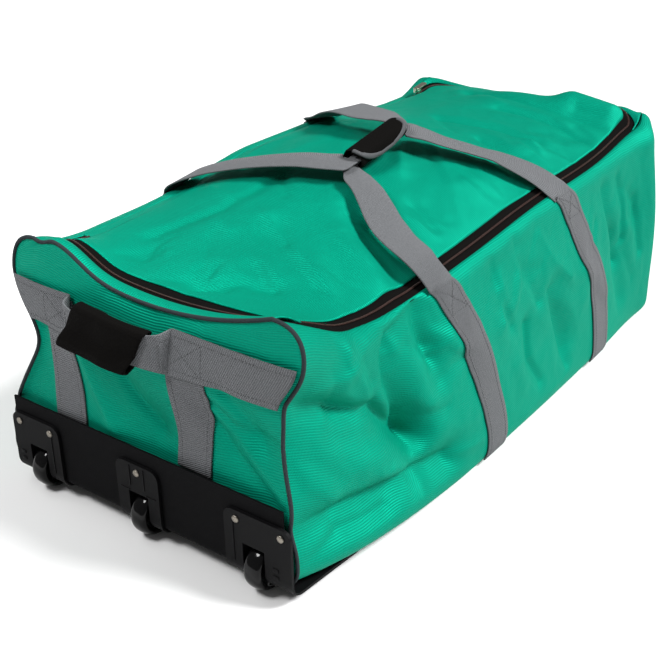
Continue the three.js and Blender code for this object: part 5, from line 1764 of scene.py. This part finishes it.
def lay_floor():
    """The studio floor."""
    mesh = bpy.data.meshes.new("floor")
    corners = [(x * FLOOR_REACH, y * FLOOR_REACH, 0) for x, y in ((-1, -1), (1, -1), (1, 1), (-1, 1))]
    mesh.from_pydata(corners, [], [(0, 1, 2, 3)])
    mesh.materials.append(finish(studio_floor))
    floor = linked("floor", mesh)
    floor.location.z = -FLOOR_DROP


def set_lights(settings):
    """The even world, the key and the soft lights."""
    world = bpy.data.worlds.new("studio")
    world.use_nodes = True
    background = world.node_tree.nodes["Background"]
    background.inputs["Color"].default_value = (1, 1, 1, 1)
    background.inputs["Strength"].default_value = settings.fill_strength
    bpy.context.scene.world = world
    key = bpy.data.lights.new("key", "SUN")
    key.angle = KEY_ANGLE
    key.energy = settings.key_strength
    aimed(linked("key", key), KEY_FROM)
    for name, size, power, place in LAMPS:
        light = bpy.data.lights.new(name, "AREA")
        light.shape = "DISK"
        light.size = size
        light.energy = power
        lamp = linked(name, light)
        lamp.location = Vector(placed(BAG_MIDDLE)) + Vector(place)
        aimed(lamp, place)


def set_camera():
    """The camera, turned about a place on the bag."""
    data = bpy.data.cameras.new("camera")
    data.sensor_width = CAMERA["sensor"]
    data.lens = CAMERA["focal_px"] / CAMERA["frame_px"] * CAMERA["sensor"]
    camera = linked("camera", data)
    turn, lift, roll = (math.radians(CAMERA[name]) for name in ("azimuth", "elevation", "roll"))
    back = Vector((math.sin(turn) * math.cos(lift), -math.cos(turn) * math.cos(lift), math.sin(lift)))
    aim = back.to_track_quat("Z", "Y").to_matrix().to_4x4() @ Matrix.Rotation(roll, 4, "Z")
    place = Vector(placed(CAMERA["target"])) + back * CAMERA["distance"]
    camera.matrix_world = Matrix.Translation(place) @ aim
    bpy.context.scene.camera = camera


class HOLDALL_OT_stage(bpy.types.Operator):
    """Sets the floor, the lights and the camera."""

    bl_idname = "holdall.stage"
    bl_label = "Stage"

    def execute(self, context):
        lay_floor()
        set_lights(context.scene.holdall)
        set_camera()
        context.scene.view_settings.view_transform = "Standard"
        return {"FINISHED"}


class HOLDALL_PT_panel(bpy.types.Panel):
    """Lists the steps that build the bag."""

    bl_idname = "HOLDALL_PT_panel"
    bl_label = "Holdall"
    bl_space_type = "VIEW_3D"
    bl_region_type = "UI"
    bl_category = "Holdall"

    def draw(self, context):
        for name in HOLDALL_settings.__annotations__:
            self.layout.prop(context.scene.holdall, name)
        for step in STEPS:
            self.layout.operator(step.bl_idname)


STEPS = (
    HOLDALL_OT_cloth,
    HOLDALL_OT_zip,
    HOLDALL_OT_piping,
    HOLDALL_OT_handles,
    HOLDALL_OT_wrap,
    HOLDALL_OT_grab,
    HOLDALL_OT_guard,
    HOLDALL_OT_wheels,
    HOLDALL_OT_stage,
)
CLASSES = (HOLDALL_settings, *STEPS, HOLDALL_PT_panel)


def register():
    for item in CLASSES:
        bpy.utils.register_class(item)
    bpy.types.Scene.holdall = bpy.props.PointerProperty(type=HOLDALL_settings)


def unregister():
    del bpy.types.Scene.holdall
    for item in reversed(CLASSES):
        bpy.utils.unregister_class(item)


def main():
    register()
    for step in STEPS:
        group, name = step.bl_idname.split(".")
        if getattr(getattr(bpy.ops, group), name)() != {"FINISHED"}:
            raise RuntimeError(f"{step.bl_label} did not finish")


if __name__ == "__main__":
    main()
